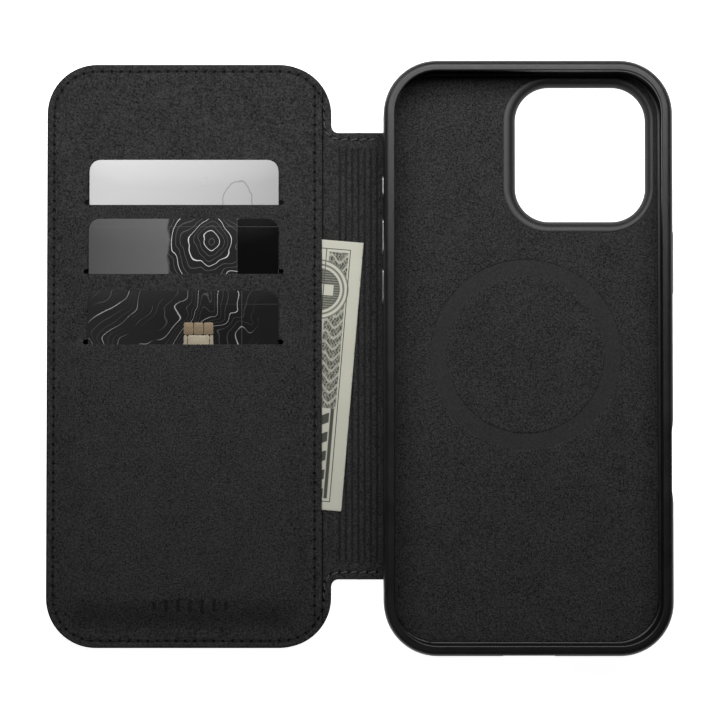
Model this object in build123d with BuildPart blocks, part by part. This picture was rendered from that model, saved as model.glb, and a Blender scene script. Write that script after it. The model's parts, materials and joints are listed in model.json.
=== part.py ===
from build123d import *
import os
from math import atan2, cos, degrees, radians, sin

os.makedirs("parts", exist_ok=True)

# A phone wallet case lying open on its back, seen from its inner side: the cover with its
# card slots at -X, the spine in the middle, and the phone case at +X. The phone's top end
# points to +Y. The origin is at the middle of the lowest face.

# ---------------------------------------------------------------- driving dimensions
# Phone that the case is made for
phone_width = 77.6
phone_height = 163.0
phone_depth = 8.25
phone_gap = 0.1

# Cards of the standard size, and a banknote folded once across its length
card_width = 53.98
card_height = 85.60
card_thickness = 0.76
card_corner = 3.18
note_width = 66.3
note_height = 78.0
note_thickness = 0.2

# Sheet materials
leather_thickness = 0.9
shell_thickness = 0.9
case_lining_thickness = 0.4
board_thickness = 0.4
sheet_thickness = 0.3
strip_thickness = 0.26

# Bumper
side_wall = 1.8
end_wall = 2.2
base_flange = 3.0
lip_reach = 3.2
lip_thickness = 1.0
outer_corner = 15.1
bay_cove = 1.1
rim_fillet = 2.0

# Folds
spine_width = 14.5
spine_height = 128.0
fold_gap = 0.05
fold_height = 1.65
spine_to_bumper = 0.8

# Cover
cover_width = 80.9
cover_height = 166.8
cover_rise = 0.7
cover_corner = 14.3
notch_fillet = 2.0

# Seams
stitch_pitch = 2.67
stitch_length = 1.95
thread_width = 0.5
thread_height = 0.18
thread_clearance = 0.03
seam_inset = 2.1

# Camera opening, from the middle of the case
camera_centre = (15.9, 58.3)
camera_size = (37.3, 38.6)
camera_corner = 9.7
bezel_centre = (15.2, 58.05)
bezel_size = (43.2, 44.5)
bezel_corner = 13.0
bezel_stand_out = 0.8

# Magnet ring
ring_outer = 54.4
ring_inner = 44.9
ring_centre_y = 0.8
ring_film = 0.2
magnet_count = 16
magnet_thickness = 0.6

# Keys on the bumper, each as a middle height along Y and a length
key_height = 3.6
key_stand_out = 0.4
key_travel = 0.4
key_clearance = 0.15
key_flange = 0.6
left_keys = {
    "action_button": (48.2, 6.0),
    "volume_up_button": (34.1, 10.0),
    "volume_down_button": (20.0, 10.0),
}
right_keys = {"side_button": (26.6, 18.1)}

# ---------------------------------------------------------------- derived places
case_width = phone_width + 2 * (phone_gap + side_wall)
case_height = phone_height + 2 * (phone_gap + end_wall)
side_key_stand_out = 0.5
total_width = cover_width + spine_width + spine_to_bumper + case_width + side_key_stand_out

cover_left = -total_width / 2
cover_fold_x = cover_left + cover_width
spine_fold_x = cover_fold_x + spine_width
case_left = spine_fold_x + spine_to_bumper
case_x = case_left + case_width / 2
case_right = case_left + case_width

# The cover and the spine sit cover_rise further up than the case, and the origin lies midway
# between the lowest and the highest edge.
case_y = -(cover_rise + (cover_height - case_height) / 2) / 2
cover_y = case_y + cover_rise

# Heights of the layers, counted up from the leather's outer face
back_z = bezel_stand_out
leather_top = back_z + leather_thickness
shell_top = leather_top + shell_thickness
bay_floor = shell_top + case_lining_thickness
lip_bottom = bay_floor + phone_depth + 0.05
rim_top = lip_bottom + lip_thickness
phone_middle_z = bay_floor + phone_depth / 2

board_top = leather_top + board_thickness
lining_top = board_top + sheet_thickness
fold_z = back_z + fold_height
pocket_ceiling = lining_top + 0.3
backing_top = pocket_ceiling + sheet_thickness
panel_top = backing_top + sheet_thickness

# Card slots: the cards lie one above the other, each under its own strip of the panel
card_gap = 0.04
level_pitch = card_thickness + 2 * card_gap + strip_thickness
card_z = [panel_top + card_gap + level * level_pitch for level in range(3)]
strip_z = [z + card_thickness + card_gap for z in card_z]
slit_y = [43.5, 23.7, 3.6]
card_top_y = [56.4, 39.45, 18.85]
card_names = ["card_top", "card_middle", "card_lower"]
panel_right = cover_fold_x - 2.25
card_x = (cover_left + panel_right) / 2
slot_width = card_width + 0.7
hood_width = slot_width + 1.2
hood_bottom = card_top_y[2] - card_height - 1.4

rim_band = 3.2
hidden_edge = 0.1


def cover_outline(inset, right):
    """Rounded outline of the cover, inset from its edges and cut off square at right."""
    full_width = cover_width - fold_gap
    with BuildSketch() as outline:
        with Locations((cover_left + full_width / 2, cover_y)):
            RectangleRounded(
                full_width - 2 * inset,
                cover_height - 2 * inset,
                cover_corner - inset,
            )
        with Locations((right, cover_y)):
            Rectangle(
                cover_width,
                cover_height,
                align=(Align.MIN, Align.CENTER),
                mode=Mode.SUBTRACT,
            )
    return outline.sketch


def case_outline(side_inset, end_inset):
    """Rounded outline of the phone case, inset from its outer wall."""
    with BuildSketch() as outline:
        with Locations((case_x, case_y)):
            RectangleRounded(
                case_width - 2 * side_inset,
                case_height - 2 * end_inset,
                outer_corner - side_inset,
            )
    return outline.sketch


def camera_outline(centre, size, corner):
    """Rounded square of the camera opening or of its bezel."""
    with BuildSketch() as outline:
        with Locations((case_x + centre[0], centre[1])):
            RectangleRounded(size[0], size[1], corner)
    return outline.sketch


def spine_outline(left, right):
    """Spine strip with a small concave fillet where it meets the cover's longer edge."""
    top = cover_y + spine_height / 2
    foot = cover_y - spine_height / 2
    with BuildSketch() as outline:
        with BuildLine():
            upper = RadiusArc((left, top + notch_fillet), (left + notch_fillet, top), -notch_fillet)
            Line(upper @ 1, (right, top))
            Line((right, top), (right, foot))
            Line((right, foot), (left + notch_fillet, foot))
            lower = RadiusArc((left + notch_fillet, foot), (left, foot - notch_fillet), -notch_fillet)
            Line(lower @ 1, upper @ 0)
        make_face()
    return outline.sketch


def stitches_along(seam, count):
    """Evenly spaced places along a seam, each turned to lie along it."""
    places = []
    for number in range(count):
        along = (number + 0.5) / count
        point = seam @ along
        heading = seam % along
        places.append(Location((point.X, point.Y, 0), (0, 0, degrees(atan2(heading.Y, heading.X)))))
    return places


# ---------------------------------------------------------------- seams
# The cover's seam runs round its edge, seam_inset inside it, as far as the panel reaches.
seam_left = cover_left + seam_inset
seam_right = cover_fold_x - seam_inset
seam_half = cover_height / 2 - seam_inset
seam_corner = cover_corner - seam_inset
seam_start = spine_height / 2 + notch_fillet
with BuildLine() as cover_seam:
    FilletPolyline(
        (seam_right, cover_y + seam_start),
        (seam_right, cover_y + seam_half),
        (seam_left, cover_y + seam_half),
        (seam_left, cover_y - seam_half),
        (seam_right, cover_y - seam_half),
        (seam_right, cover_y - seam_start),
        radius=seam_corner,
    )
seam_wire = cover_seam.wire()
stitch_count = round(seam_wire.length / stitch_pitch)
stitch_places = stitches_along(seam_wire, stitch_count)
panel_places = [place for place in stitch_places if place.position.X < panel_right - 0.9]

# A second seam holds the slot sheets together beside the mouth of the cash pocket.
edge_seam_x = panel_right - 2.05
edge_seam_half = 75.0
edge_seam = Line((edge_seam_x, cover_y - edge_seam_half), (edge_seam_x, cover_y + edge_seam_half))
edge_places = stitches_along(edge_seam, round(edge_seam.length / stitch_pitch))

# Short seams close the spine's two ends.
spine_seam_rise = spine_height / 2 - seam_inset
spine_seam_x = (cover_fold_x + spine_fold_x) / 2 + 0.4
spine_seam_half = 2 * stitch_pitch
spine_places = []
for y in (cover_y - spine_seam_rise, cover_y + spine_seam_rise):
    spine_seam = Line((spine_seam_x - spine_seam_half, y), (spine_seam_x + spine_seam_half, y))
    spine_places += stitches_along(spine_seam, 4)


def stitch_outlines(places, clearance):
    """Outlines of the stitches at some places, widened all round by a clearance."""
    with BuildSketch() as outlines:
        with Locations(*places):
            SlotOverall(stitch_length + 2 * clearance, thread_width + 2 * clearance)
    return outlines.sketch


def seam_stitches(places, surface_z):
    """Stitches at some places, pressed into a sheet until they are level with its surface."""
    with BuildPart() as seam:
        with BuildSketch(Plane.XY.offset(surface_z - thread_height)):
            add(stitch_outlines(places, 0))
        extrude(amount=thread_height)
    return seam


perimeter_stitching = seam_stitches(panel_places, panel_top)
perimeter_stitching.part.label = "perimeter_stitching"
export_step(perimeter_stitching.part, "parts/perimeter_stitching.step")

panel_edge_stitching = seam_stitches(edge_places, panel_top)
panel_edge_stitching.part.label = "panel_edge_stitching"
export_step(panel_edge_stitching.part, "parts/panel_edge_stitching.step")

spine_stitching = seam_stitches(spine_places, lining_top)
spine_stitching.part.label = "spine_stitching"
export_step(spine_stitching.part, "parts/spine_stitching.step")

# ---------------------------------------------------------------- cover: leather and board
with BuildPart() as cover_leather:
    with BuildSketch(Plane.XY.offset(back_z)):
        add(cover_outline(0, cover_fold_x))
    extrude(amount=leather_thickness)
    outer_edges = cover_leather.edges().filter_by(Plane.XY).group_by(Axis.Z)[0]
    chamfer([edge for edge in outer_edges if edge.center().X < cover_fold_x - 1], 0.25)
cover_leather.part.label = "cover_leather"
export_step(cover_leather.part, "parts/cover_leather.step")

board_inset = rim_band + 0.2
with BuildPart() as cover_board:
    with BuildSketch(Plane.XY.offset(leather_top)):
        add(cover_outline(board_inset, panel_right - 0.5))
    extrude(amount=board_thickness)
cover_board.part.label = "cover_board"
export_step(cover_board.part, "parts/cover_board.step")

# The lining is pressed down round the board, onto the leather.
with BuildPart() as cash_pocket_lining:
    with BuildSketch(Plane.XY.offset(leather_top)):
        add(cover_outline(hidden_edge, cover_fold_x))
    extrude(amount=board_thickness + sheet_thickness)
    with BuildSketch(Plane.XY.offset(leather_top)):
        add(cover_outline(board_inset, panel_right - 0.5))
    extrude(amount=board_thickness, mode=Mode.SUBTRACT)
cash_pocket_lining.part.label = "cash_pocket_lining"
export_step(cash_pocket_lining.part, "parts/cash_pocket_lining.step")

# The cash pocket is closed round its edge, and open towards the spine between the corners.
with BuildPart() as pocket_backing:
    with BuildSketch(Plane.XY.offset(lining_top)):
        add(cover_outline(hidden_edge, panel_right))
    extrude(amount=backing_top - lining_top)
    with BuildSketch(Plane.XY.offset(lining_top)):
        add(cover_outline(rim_band, panel_right))
        with Locations((panel_right, cover_y)):
            Rectangle(2 * rim_band, cover_height - 2 * cover_corner)
    extrude(amount=pocket_ceiling - lining_top, mode=Mode.SUBTRACT)
pocket_backing.part.label = "pocket_backing"
export_step(pocket_backing.part, "parts/pocket_backing.step")

# ---------------------------------------------------------------- cover: card slots
# Front sheet of the slots: flat outside, and raised in three steps over the cards. Each
# step ends at a slit, and is open there, where its card goes in.
with BuildPart() as card_panel:
    with BuildSketch(Plane.XY.offset(backing_top)):
        add(cover_outline(hidden_edge, panel_right))
    extrude(amount=sheet_thickness)
    for slit, strip in zip(slit_y, strip_z):
        with BuildSketch(Plane.XY.offset(backing_top)):
            with Locations((card_x, hood_bottom)):
                Rectangle(hood_width, slit - hood_bottom, align=(Align.CENTER, Align.MIN))
        extrude(amount=strip + strip_thickness - backing_top)
    upright_edges = card_panel.edges().filter_by(Axis.Z)
    fillet([edge for edge in upright_edges if abs(edge.center().Y - hood_bottom) < 0.1], 1.0)
    cavity_bottom = hood_bottom + 0.6
    cavity_floor = backing_top
    for slit, strip in zip(slit_y, strip_z):
        with BuildSketch(Plane.XY.offset(cavity_floor)):
            with Locations((card_x, cavity_bottom)):
                Rectangle(slot_width, slit - cavity_bottom, align=(Align.CENTER, Align.MIN))
        extrude(amount=strip - cavity_floor, mode=Mode.SUBTRACT)
        cavity_floor = strip
    with BuildSketch(Plane.XY.offset(panel_top)):
        add(stitch_outlines(panel_places + edge_places, thread_clearance))
    extrude(amount=-thread_height, mode=Mode.SUBTRACT)
card_panel.part.label = "card_panel"
export_step(card_panel.part, "parts/card_panel.step")

# Divider sheets carry on from the lips of the first and second slits, between the cards.
divider_names = ["pocket_divider_upper", "pocket_divider_lower"]
for level, name in enumerate(divider_names):
    divider_bottom = card_top_y[level] - card_height - 1.0
    with BuildPart() as divider:
        with BuildSketch(Plane.XY.offset(strip_z[level])):
            with Locations((card_x, divider_bottom)):
                Rectangle(
                    slot_width,
                    slit_y[level + 1] - divider_bottom,
                    align=(Align.CENTER, Align.MIN),
                )
        extrude(amount=strip_thickness)
    divider.part.label = name
    export_step(divider.part, f"parts/{name}.step")

# ---------------------------------------------------------------- cards
chip_offset = (4.4, 28.5)
chip_size = (8.4, 10.6)
chip_corner = 1.2
chip_depth = 0.1


def chip_outline(level):
    """Outline of the contact plate on a card that is at the given level."""
    card_y = card_top_y[level] - card_height / 2
    with BuildSketch() as outline:
        with Locations((card_x + chip_offset[0], card_y + chip_offset[1])):
            RectangleRounded(chip_size[0], chip_size[1], chip_corner)
    return outline.sketch


for level, name in enumerate(card_names):
    with BuildPart() as card:
        with BuildSketch(Plane.XY.offset(card_z[level])):
            with Locations((card_x, card_top_y[level] - card_height / 2)):
                RectangleRounded(card_width, card_height, card_corner)
        extrude(amount=card_thickness)
        if name == "card_lower":
            with BuildSketch(Plane.XY.offset(card_z[level] + card_thickness)):
                add(chip_outline(level))
            extrude(amount=-chip_depth, mode=Mode.SUBTRACT)
    card.part.label = name
    export_step(card.part, f"parts/{name}.step")

with BuildPart() as card_chip:
    with BuildSketch(Plane.XY.offset(card_z[2] + card_thickness - chip_depth)):
        add(chip_outline(2))
    extrude(amount=chip_depth)
card_chip.part.label = "card_chip"
export_step(card_chip.part, "parts/card_chip.step")

# ---------------------------------------------------------------- banknote
# The folded note lies in the cash pocket, a little askew, and its end lies over the spine.
# It bends with the cover's fold, so it is in two pieces with a gap as deep as the note.
note_tilt = 4.77
note_edge_middle = (-1.75, -5.55)
note_z = lining_top + 0.05
note_x = note_edge_middle[0] - note_width / 2 * cos(radians(note_tilt))
note_y = note_edge_middle[1] + note_width / 2 * sin(radians(note_tilt))
reach = 2 * note_height

with BuildPart() as banknote:
    with BuildSketch(Plane.XY.offset(note_z)):
        with Locations((note_x, note_y)):
            Rectangle(note_width, note_height, rotation=-note_tilt)
        with Locations((cover_fold_x - note_thickness, 0)):
            Rectangle(reach, reach, align=(Align.MIN, Align.CENTER), mode=Mode.SUBTRACT)
    extrude(amount=note_thickness)
banknote.part.label = "banknote"
export_step(banknote.part, "parts/banknote.step")

with BuildPart() as banknote_end:
    with BuildSketch(Plane.XY.offset(note_z)):
        with Locations((note_x, note_y)):
            Rectangle(note_width, note_height, rotation=-note_tilt)
        with Locations((cover_fold_x + note_thickness, 0)):
            Rectangle(reach, reach, align=(Align.MAX, Align.CENTER), mode=Mode.SUBTRACT)
    extrude(amount=note_thickness)
banknote_end.part.label = "banknote_end"
export_step(banknote_end.part, "parts/banknote_end.step")

# ---------------------------------------------------------------- spine
with BuildPart() as spine_leather:
    with BuildSketch(Plane.XY.offset(back_z)):
        add(spine_outline(cover_fold_x + fold_gap, spine_fold_x - fold_gap))
    extrude(amount=leather_thickness)
spine_leather.part.label = "spine_leather"
export_step(spine_leather.part, "parts/spine_leather.step")

# Seven pressed grooves along the lining let it fold evenly.
groove_pitch = 1.79
groove_width = 0.5
groove_depth = 0.3
groove_end = 4.2
with BuildPart() as spine_lining:
    with BuildSketch(Plane.XY.offset(leather_top)):
        add(spine_outline(cover_fold_x + fold_gap, spine_fold_x - fold_gap))
    extrude(amount=lining_top - leather_top)
    with BuildSketch(Plane.XY.offset(lining_top)):
        with Locations(((cover_fold_x + spine_fold_x) / 2 + 0.75, cover_y)):
            with GridLocations(groove_pitch, 0, 7, 1):
                Rectangle(groove_width, spine_height - 2 * groove_end)
    extrude(amount=-groove_depth, mode=Mode.SUBTRACT)
    with BuildSketch(Plane.XY.offset(lining_top)):
        add(stitch_outlines(spine_places, thread_clearance))
    extrude(amount=-thread_height, mode=Mode.SUBTRACT)
spine_lining.part.label = "spine_lining"
export_step(spine_lining.part, "parts/spine_lining.step")

# The lining runs on under the bumper's left wall, to the edge of the back shell.
with BuildPart() as spine_lining_tab:
    with BuildSketch(Plane.XY.offset(leather_top)):
        with Locations((spine_fold_x + fold_gap, cover_y)):
            Rectangle(
                case_left + base_flange - spine_fold_x - fold_gap,
                spine_height,
                align=(Align.MIN, Align.CENTER),
            )
    extrude(amount=lining_top - leather_top)
spine_lining_tab.part.label = "spine_lining_tab"
export_step(spine_lining_tab.part, "parts/spine_lining_tab.step")

# ---------------------------------------------------------------- case: leather, shell, lining
with BuildPart() as back_leather:
    with BuildSketch(Plane.XY.offset(back_z)):
        add(case_outline(base_flange, base_flange))
        with Locations((spine_fold_x + fold_gap, cover_y)):
            Rectangle(20, spine_height, align=(Align.MIN, Align.CENTER))
        add(camera_outline(bezel_centre, bezel_size, bezel_corner), mode=Mode.SUBTRACT)
    extrude(amount=leather_thickness)
back_leather.part.label = "back_leather"
export_step(back_leather.part, "parts/back_leather.step")

# The hard shell holds the magnets in pockets that open towards the phone.
magnet_floor = shell_top - magnet_thickness
magnet_outer = ring_outer / 2 - 0.3
magnet_inner = ring_inner / 2 + 0.3
aligner_size = (5.6, 19.6)
aligner_y = ring_centre_y - ring_outer / 2 - 3.4 - aligner_size[1] / 2
with BuildPart() as back_shell:
    with BuildSketch(Plane.XY.offset(leather_top)):
        add(case_outline(base_flange, base_flange))
        add(camera_outline(bezel_centre, bezel_size, bezel_corner), mode=Mode.SUBTRACT)
    extrude(amount=shell_thickness)
    with BuildSketch(Plane.XY.offset(magnet_floor)):
        with Locations((case_x, ring_centre_y)):
            Circle(magnet_outer + 0.1)
            Circle(magnet_inner - 0.1, mode=Mode.SUBTRACT)
        with Locations((case_x, aligner_y)):
            RectangleRounded(aligner_size[0] + 0.2, aligner_size[1] + 0.2, 1.0)
    extrude(amount=magnet_thickness, mode=Mode.SUBTRACT)
back_shell.part.label = "back_shell"
export_step(back_shell.part, "parts/back_shell.step")

with BuildPart() as case_lining:
    with BuildSketch(Plane.XY.offset(shell_top)):
        add(case_outline(base_flange, base_flange))
        add(camera_outline(bezel_centre, bezel_size, bezel_corner), mode=Mode.SUBTRACT)
        with Locations((case_x, ring_centre_y)):
            Circle(ring_outer / 2, mode=Mode.SUBTRACT)
            Circle(ring_inner / 2)
    extrude(amount=case_lining_thickness)
case_lining.part.label = "case_lining"
export_step(case_lining.part, "parts/case_lining.step")

# ---------------------------------------------------------------- case: magnets
# A smooth film lies over the ring of magnets, a little below the lining.
with BuildPart() as magnet_ring_cover:
    with BuildSketch(Plane.XY.offset(shell_top)):
        with Locations((case_x, ring_centre_y)):
            Circle(ring_outer / 2)
            Circle(ring_inner / 2, mode=Mode.SUBTRACT)
    extrude(amount=ring_film)
magnet_ring_cover.part.label = "magnet_ring_cover"
export_step(magnet_ring_cover.part, "parts/magnet_ring_cover.step")

magnet_step = 360 / magnet_count
magnet_half_angle = magnet_step / 2 - 0.6
with BuildPart() as ring_magnets:
    with BuildSketch(Plane.XY.offset(magnet_floor)):
        with Locations((case_x, ring_centre_y)):
            with PolarLocations(0, magnet_count):
                SlotArc(
                    CenterArc(
                        (0, 0),
                        (magnet_outer + magnet_inner) / 2,
                        -magnet_half_angle + 4.4,
                        2 * (magnet_half_angle - 4.4),
                    ),
                    magnet_outer - magnet_inner,
                )
    extrude(amount=magnet_thickness)
ring_magnets.part.label = "ring_magnets"
export_step(ring_magnets.part, "parts/ring_magnets.step")

with BuildPart() as alignment_magnet:
    with BuildSketch(Plane.XY.offset(magnet_floor)):
        with Locations((case_x, aligner_y)):
            RectangleRounded(aligner_size[0], aligner_size[1], 0.9)
    extrude(amount=magnet_thickness)
alignment_magnet.part.label = "alignment_magnet"
export_step(alignment_magnet.part, "parts/alignment_magnet.step")

# ---------------------------------------------------------------- case: camera bezel
# The bezel stands out behind the leather, and slopes in to the opening like a funnel.
bezel_top = bay_floor - 0.1
funnel_bottom = back_z + 0.9
funnel_margin = 0.5
with BuildPart() as camera_bezel:
    with BuildSketch(Plane.XY):
        add(camera_outline(bezel_centre, bezel_size, bezel_corner))
    extrude(amount=bezel_top)
    fillet(camera_bezel.edges().filter_by(Plane.XY).group_by(Axis.Z)[0], 0.5)
    with BuildSketch(Plane.XY):
        add(camera_outline(camera_centre, camera_size, camera_corner))
    extrude(amount=bezel_top, mode=Mode.SUBTRACT)
    with BuildSketch(Plane.XY.offset(funnel_bottom)):
        add(camera_outline(camera_centre, camera_size, camera_corner))
    with BuildSketch(Plane.XY.offset(bezel_top)):
        funnel_size = (bezel_size[0] - 2 * funnel_margin, bezel_size[1] - 2 * funnel_margin)
        add(camera_outline(bezel_centre, funnel_size, bezel_corner - funnel_margin))
    loft(mode=Mode.SUBTRACT)
camera_bezel.part.label = "camera_bezel"
export_step(camera_bezel.part, "parts/camera_bezel.step")

# ---------------------------------------------------------------- case: bumper
flange_thickness = 0.35
flange_start = side_wall - key_travel - flange_thickness
flange_recess = flange_start - 0.05
scoop_middle = -29.3
scoop_long = 24.2
scoop_short = 16.75
scoop_depth = 0.6
window_length = 15.0
window_height = 4.6
port_size = (13.0, 6.5)
port_recess = (14.7, 0.25)
sound_hole_radius = 0.8
sound_hole_pitch = 2.4
sound_hole_count = 5
sound_hole_start = 11.5


def key_cut(window, wall_x, inward):
    """Space for one key in a side wall: its window, and a wider recess on the inside."""
    middle, length = window
    wall = Plane((wall_x, middle, phone_middle_z), x_dir=(0, 1, 0), z_dir=(inward, 0, 0))
    with BuildPart() as cut:
        with BuildSketch(wall.offset(-1)):
            RectangleRounded(length + 2 * key_clearance, key_height + 2 * key_clearance, 1.2)
        extrude(amount=side_wall + 2)
        recess = 2 * (key_flange + key_clearance)
        with BuildSketch(wall.offset(flange_recess)):
            RectangleRounded(length + recess, key_height + recess, 1.6)
        extrude(amount=side_wall)
    return cut


key_cuts = [key_cut(window, case_left, 1) for window in left_keys.values()]
key_cuts += [key_cut(window, case_right, -1) for window in right_keys.values()]

with BuildPart() as phone_bay:
    with BuildSketch(Plane.XY.offset(shell_top)):
        add(case_outline(side_wall, end_wall))
    extrude(amount=lip_bottom - shell_top)
    fillet(phone_bay.edges().filter_by(Plane.XY).group_by(Axis.Z)[0], bay_cove)

with BuildPart() as bumper:
    with BuildSketch(Plane.XY.offset(back_z)):
        add(case_outline(0, 0))
    extrude(amount=rim_top - back_z)
    flat_edges = bumper.edges().filter_by(Plane.XY)
    fillet(flat_edges.group_by(Axis.Z)[-1], rim_fillet)
    fillet(bumper.edges().filter_by(Plane.XY).group_by(Axis.Z)[0], 0.9)
    add(phone_bay.part, mode=Mode.SUBTRACT)
    with BuildSketch(Plane.XY.offset(shell_top)):
        add(case_outline(lip_reach, lip_reach))
    extrude(amount=rim_top, mode=Mode.SUBTRACT)
    lip_loop = bumper.edges().filter_by(Plane.XY).group_by(Axis.Z)[-1]
    fillet([edge for edge in lip_loop if edge.length > 1], 0.45)
    with BuildSketch(Plane.XY.offset(back_z)):
        add(case_outline(base_flange, base_flange))
    extrude(amount=bay_floor - back_z, mode=Mode.SUBTRACT)
    # Notch where the leather and the spine's lining pass under the left wall
    with BuildSketch(Plane.XY.offset(back_z)):
        with Locations((case_left - 1, cover_y)):
            Rectangle(base_flange + 2, spine_height + 0.2, align=(Align.MIN, Align.CENTER))
    extrude(amount=lining_top - back_z + 0.02, mode=Mode.SUBTRACT)
    for cut in key_cuts:
        add(cut.part, mode=Mode.SUBTRACT)
    # Scoop on the right wall for a fingertip, with a window over the camera control
    with BuildSketch(Plane.XY.offset(bay_floor)):
        with BuildLine():
            Polyline(
                (case_right + 1, scoop_middle + scoop_long / 2),
                (case_right, scoop_middle + scoop_long / 2),
                (case_right - scoop_depth, scoop_middle + scoop_short / 2),
                (case_right - scoop_depth, scoop_middle - scoop_short / 2),
                (case_right, scoop_middle - scoop_long / 2),
                (case_right + 1, scoop_middle - scoop_long / 2),
                close=True,
            )
        make_face()
    extrude(amount=rim_top, mode=Mode.SUBTRACT)
    control_window = Plane((case_right, scoop_middle, phone_middle_z), x_dir=(0, 1, 0), z_dir=(-1, 0, 0))
    with BuildSketch(control_window.offset(-1)):
        SlotOverall(window_length, window_height)
    extrude(amount=side_wall + 2, mode=Mode.SUBTRACT)
    # Charging port, with a shallow recess round it, and two rows of sound holes
    bottom_wall = Plane((case_x, case_y - case_height / 2, phone_middle_z), x_dir=(1, 0, 0), z_dir=(0, 1, 0))
    with BuildSketch(bottom_wall.offset(-1)):
        Rectangle(port_recess[0], 2 * rim_top)
    extrude(amount=1 + port_recess[1], mode=Mode.SUBTRACT)
    with BuildSketch(bottom_wall.offset(-1)):
        SlotOverall(port_size[0], port_size[1])
        for side in (-1, 1):
            row_middle = sound_hole_start + sound_hole_pitch * (sound_hole_count - 1) / 2
            with Locations((side * row_middle, 0)):
                with GridLocations(sound_hole_pitch, 0, sound_hole_count, 1):
                    Circle(sound_hole_radius)
    extrude(amount=end_wall + 2, mode=Mode.SUBTRACT)
bumper.part.label = "bumper"
export_step(bumper.part, "parts/bumper.step")


# ---------------------------------------------------------------- keys
def key_part(window, wall_x, inward, stand_out):
    """One key: a cap that stands out of its window, and a flange that keeps it in."""
    middle, length = window
    wall = Plane((wall_x, middle, phone_middle_z), x_dir=(0, 1, 0), z_dir=(inward, 0, 0))
    with BuildPart() as key:
        with BuildSketch(wall.offset(-stand_out)):
            RectangleRounded(length, key_height, 1.1)
        extrude(amount=stand_out + flange_start)
        face = key.faces().sort_by(Axis.X)[0 if inward > 0 else -1]
        fillet(face.edges(), 0.3)
        with BuildSketch(wall.offset(flange_start)):
            RectangleRounded(length + 2 * key_flange, key_height + 2 * key_flange, 1.4)
        extrude(amount=flange_thickness)
    return key


for name, window in left_keys.items():
    key = key_part(window, case_left, 1, key_stand_out)
    key.part.label = name
    export_step(key.part, f"parts/{name}.step")

for name, window in right_keys.items():
    key = key_part(window, case_right, -1, side_key_stand_out)
    key.part.label = name
    export_step(key.part, f"parts/{name}.step")
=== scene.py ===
import json
import math

import bpy
import numpy as np
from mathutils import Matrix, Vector
from mathutils.geometry import delaunay_2d_cdt
from mathutils.kdtree import KDTree


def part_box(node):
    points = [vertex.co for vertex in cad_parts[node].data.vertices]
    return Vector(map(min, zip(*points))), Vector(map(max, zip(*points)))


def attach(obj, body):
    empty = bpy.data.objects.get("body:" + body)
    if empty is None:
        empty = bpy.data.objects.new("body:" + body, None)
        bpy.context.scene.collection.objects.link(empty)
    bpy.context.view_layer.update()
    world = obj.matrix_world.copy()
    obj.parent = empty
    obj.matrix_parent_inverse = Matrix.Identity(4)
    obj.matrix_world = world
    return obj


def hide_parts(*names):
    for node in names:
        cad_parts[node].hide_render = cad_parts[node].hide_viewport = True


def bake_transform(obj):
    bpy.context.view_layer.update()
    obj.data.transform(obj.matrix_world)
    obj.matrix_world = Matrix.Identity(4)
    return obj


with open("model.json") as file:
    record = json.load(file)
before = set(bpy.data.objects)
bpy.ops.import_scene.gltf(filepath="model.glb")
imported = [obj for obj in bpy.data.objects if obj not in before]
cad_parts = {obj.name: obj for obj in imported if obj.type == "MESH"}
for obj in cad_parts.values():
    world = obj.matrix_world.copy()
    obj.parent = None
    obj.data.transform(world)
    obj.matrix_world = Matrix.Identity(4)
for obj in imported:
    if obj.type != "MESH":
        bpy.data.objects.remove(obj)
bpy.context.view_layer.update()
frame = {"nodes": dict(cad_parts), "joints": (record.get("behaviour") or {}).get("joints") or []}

# Shapes are worked out in millimetres in the row frame, and become metres in make_mesh.
MM = 0.001


def box_mm(node):
    """Lowest and highest corner of a CAD node, in millimetres."""
    low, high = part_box(node)
    return np.array(low) / MM, np.array(high) / MM


hinges = {j["name"]: np.array(j["pos_m"]) / MM for j in frame["joints"] if j["type"] == "hinge"}
COVER_FOLD = hinges["cover_fold"][0]
SPINE_FOLD = hinges["spine_fold"][0]

cover_low, cover_high = box_mm("cover_leather")
board_low, board_high = box_mm("cover_board")
tab_low, tab_high = box_mm("spine_lining_tab")
panel_low, panel_high = box_mm("card_panel")
lining_low, lining_high = box_mm("case_lining")
bezel_low, bezel_high = box_mm("camera_bezel")
ring_low, ring_high = box_mm("magnet_ring_cover")

NOTCH_RADIUS = 2.0
COVER_CORNER = 14.3
EDGE_PAST_FOLD = 0.45
COVER_LEFT = cover_low[0]
COVER_RIGHT = COVER_FOLD + EDGE_PAST_FOLD
COVER_Y = (cover_low[1] + cover_high[1]) / 2
COVER_HALF = (cover_high[1] - cover_low[1]) / 2
SPINE_HALF = (tab_high[1] - tab_low[1]) / 2
LEATHER_BOTTOM = cover_low[2]
LEATHER_TOP = cover_high[2]
LINING_TOP = box_mm("spine_lining")[1][2]
PANEL_RIGHT = panel_high[0]
PANEL_RISE = 0.3
PANEL_TOP = box_mm("pocket_backing")[1][2] + PANEL_RISE
CASE_X = (lining_low[0] + lining_high[0]) / 2
BAY_CORNER = 12.1
BEZEL_CORNER = 13.0
BEZEL_GAP = 0.05
LINING_EDGE = 0.16

GROOVE_PITCH = 1.79
GROOVE_COUNT = 7
GROOVE_DEPTH = 0.42
GROOVE_WIDTH = 0.5
GROOVE_END = 4.2
SPINE_CUT = (COVER_FOLD + SPINE_FOLD) / 2 + 0.98

SEAM_INSET = 2.1
STITCH_PITCH = 2.67
SUNK_THREAD = 0.14
OPEN_THREAD = 0.27
INNER_LIFT, INNER_SLANT = 0.16, 0.15
OUTER_LIFT, OUTER_SLANT = 0.22, 0.12
EDGE_LIFT = 0.08
SEAM_END = SPINE_FOLD - 1.0
EDGE_SEAM_X = PANEL_RIGHT - 2.05


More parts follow.
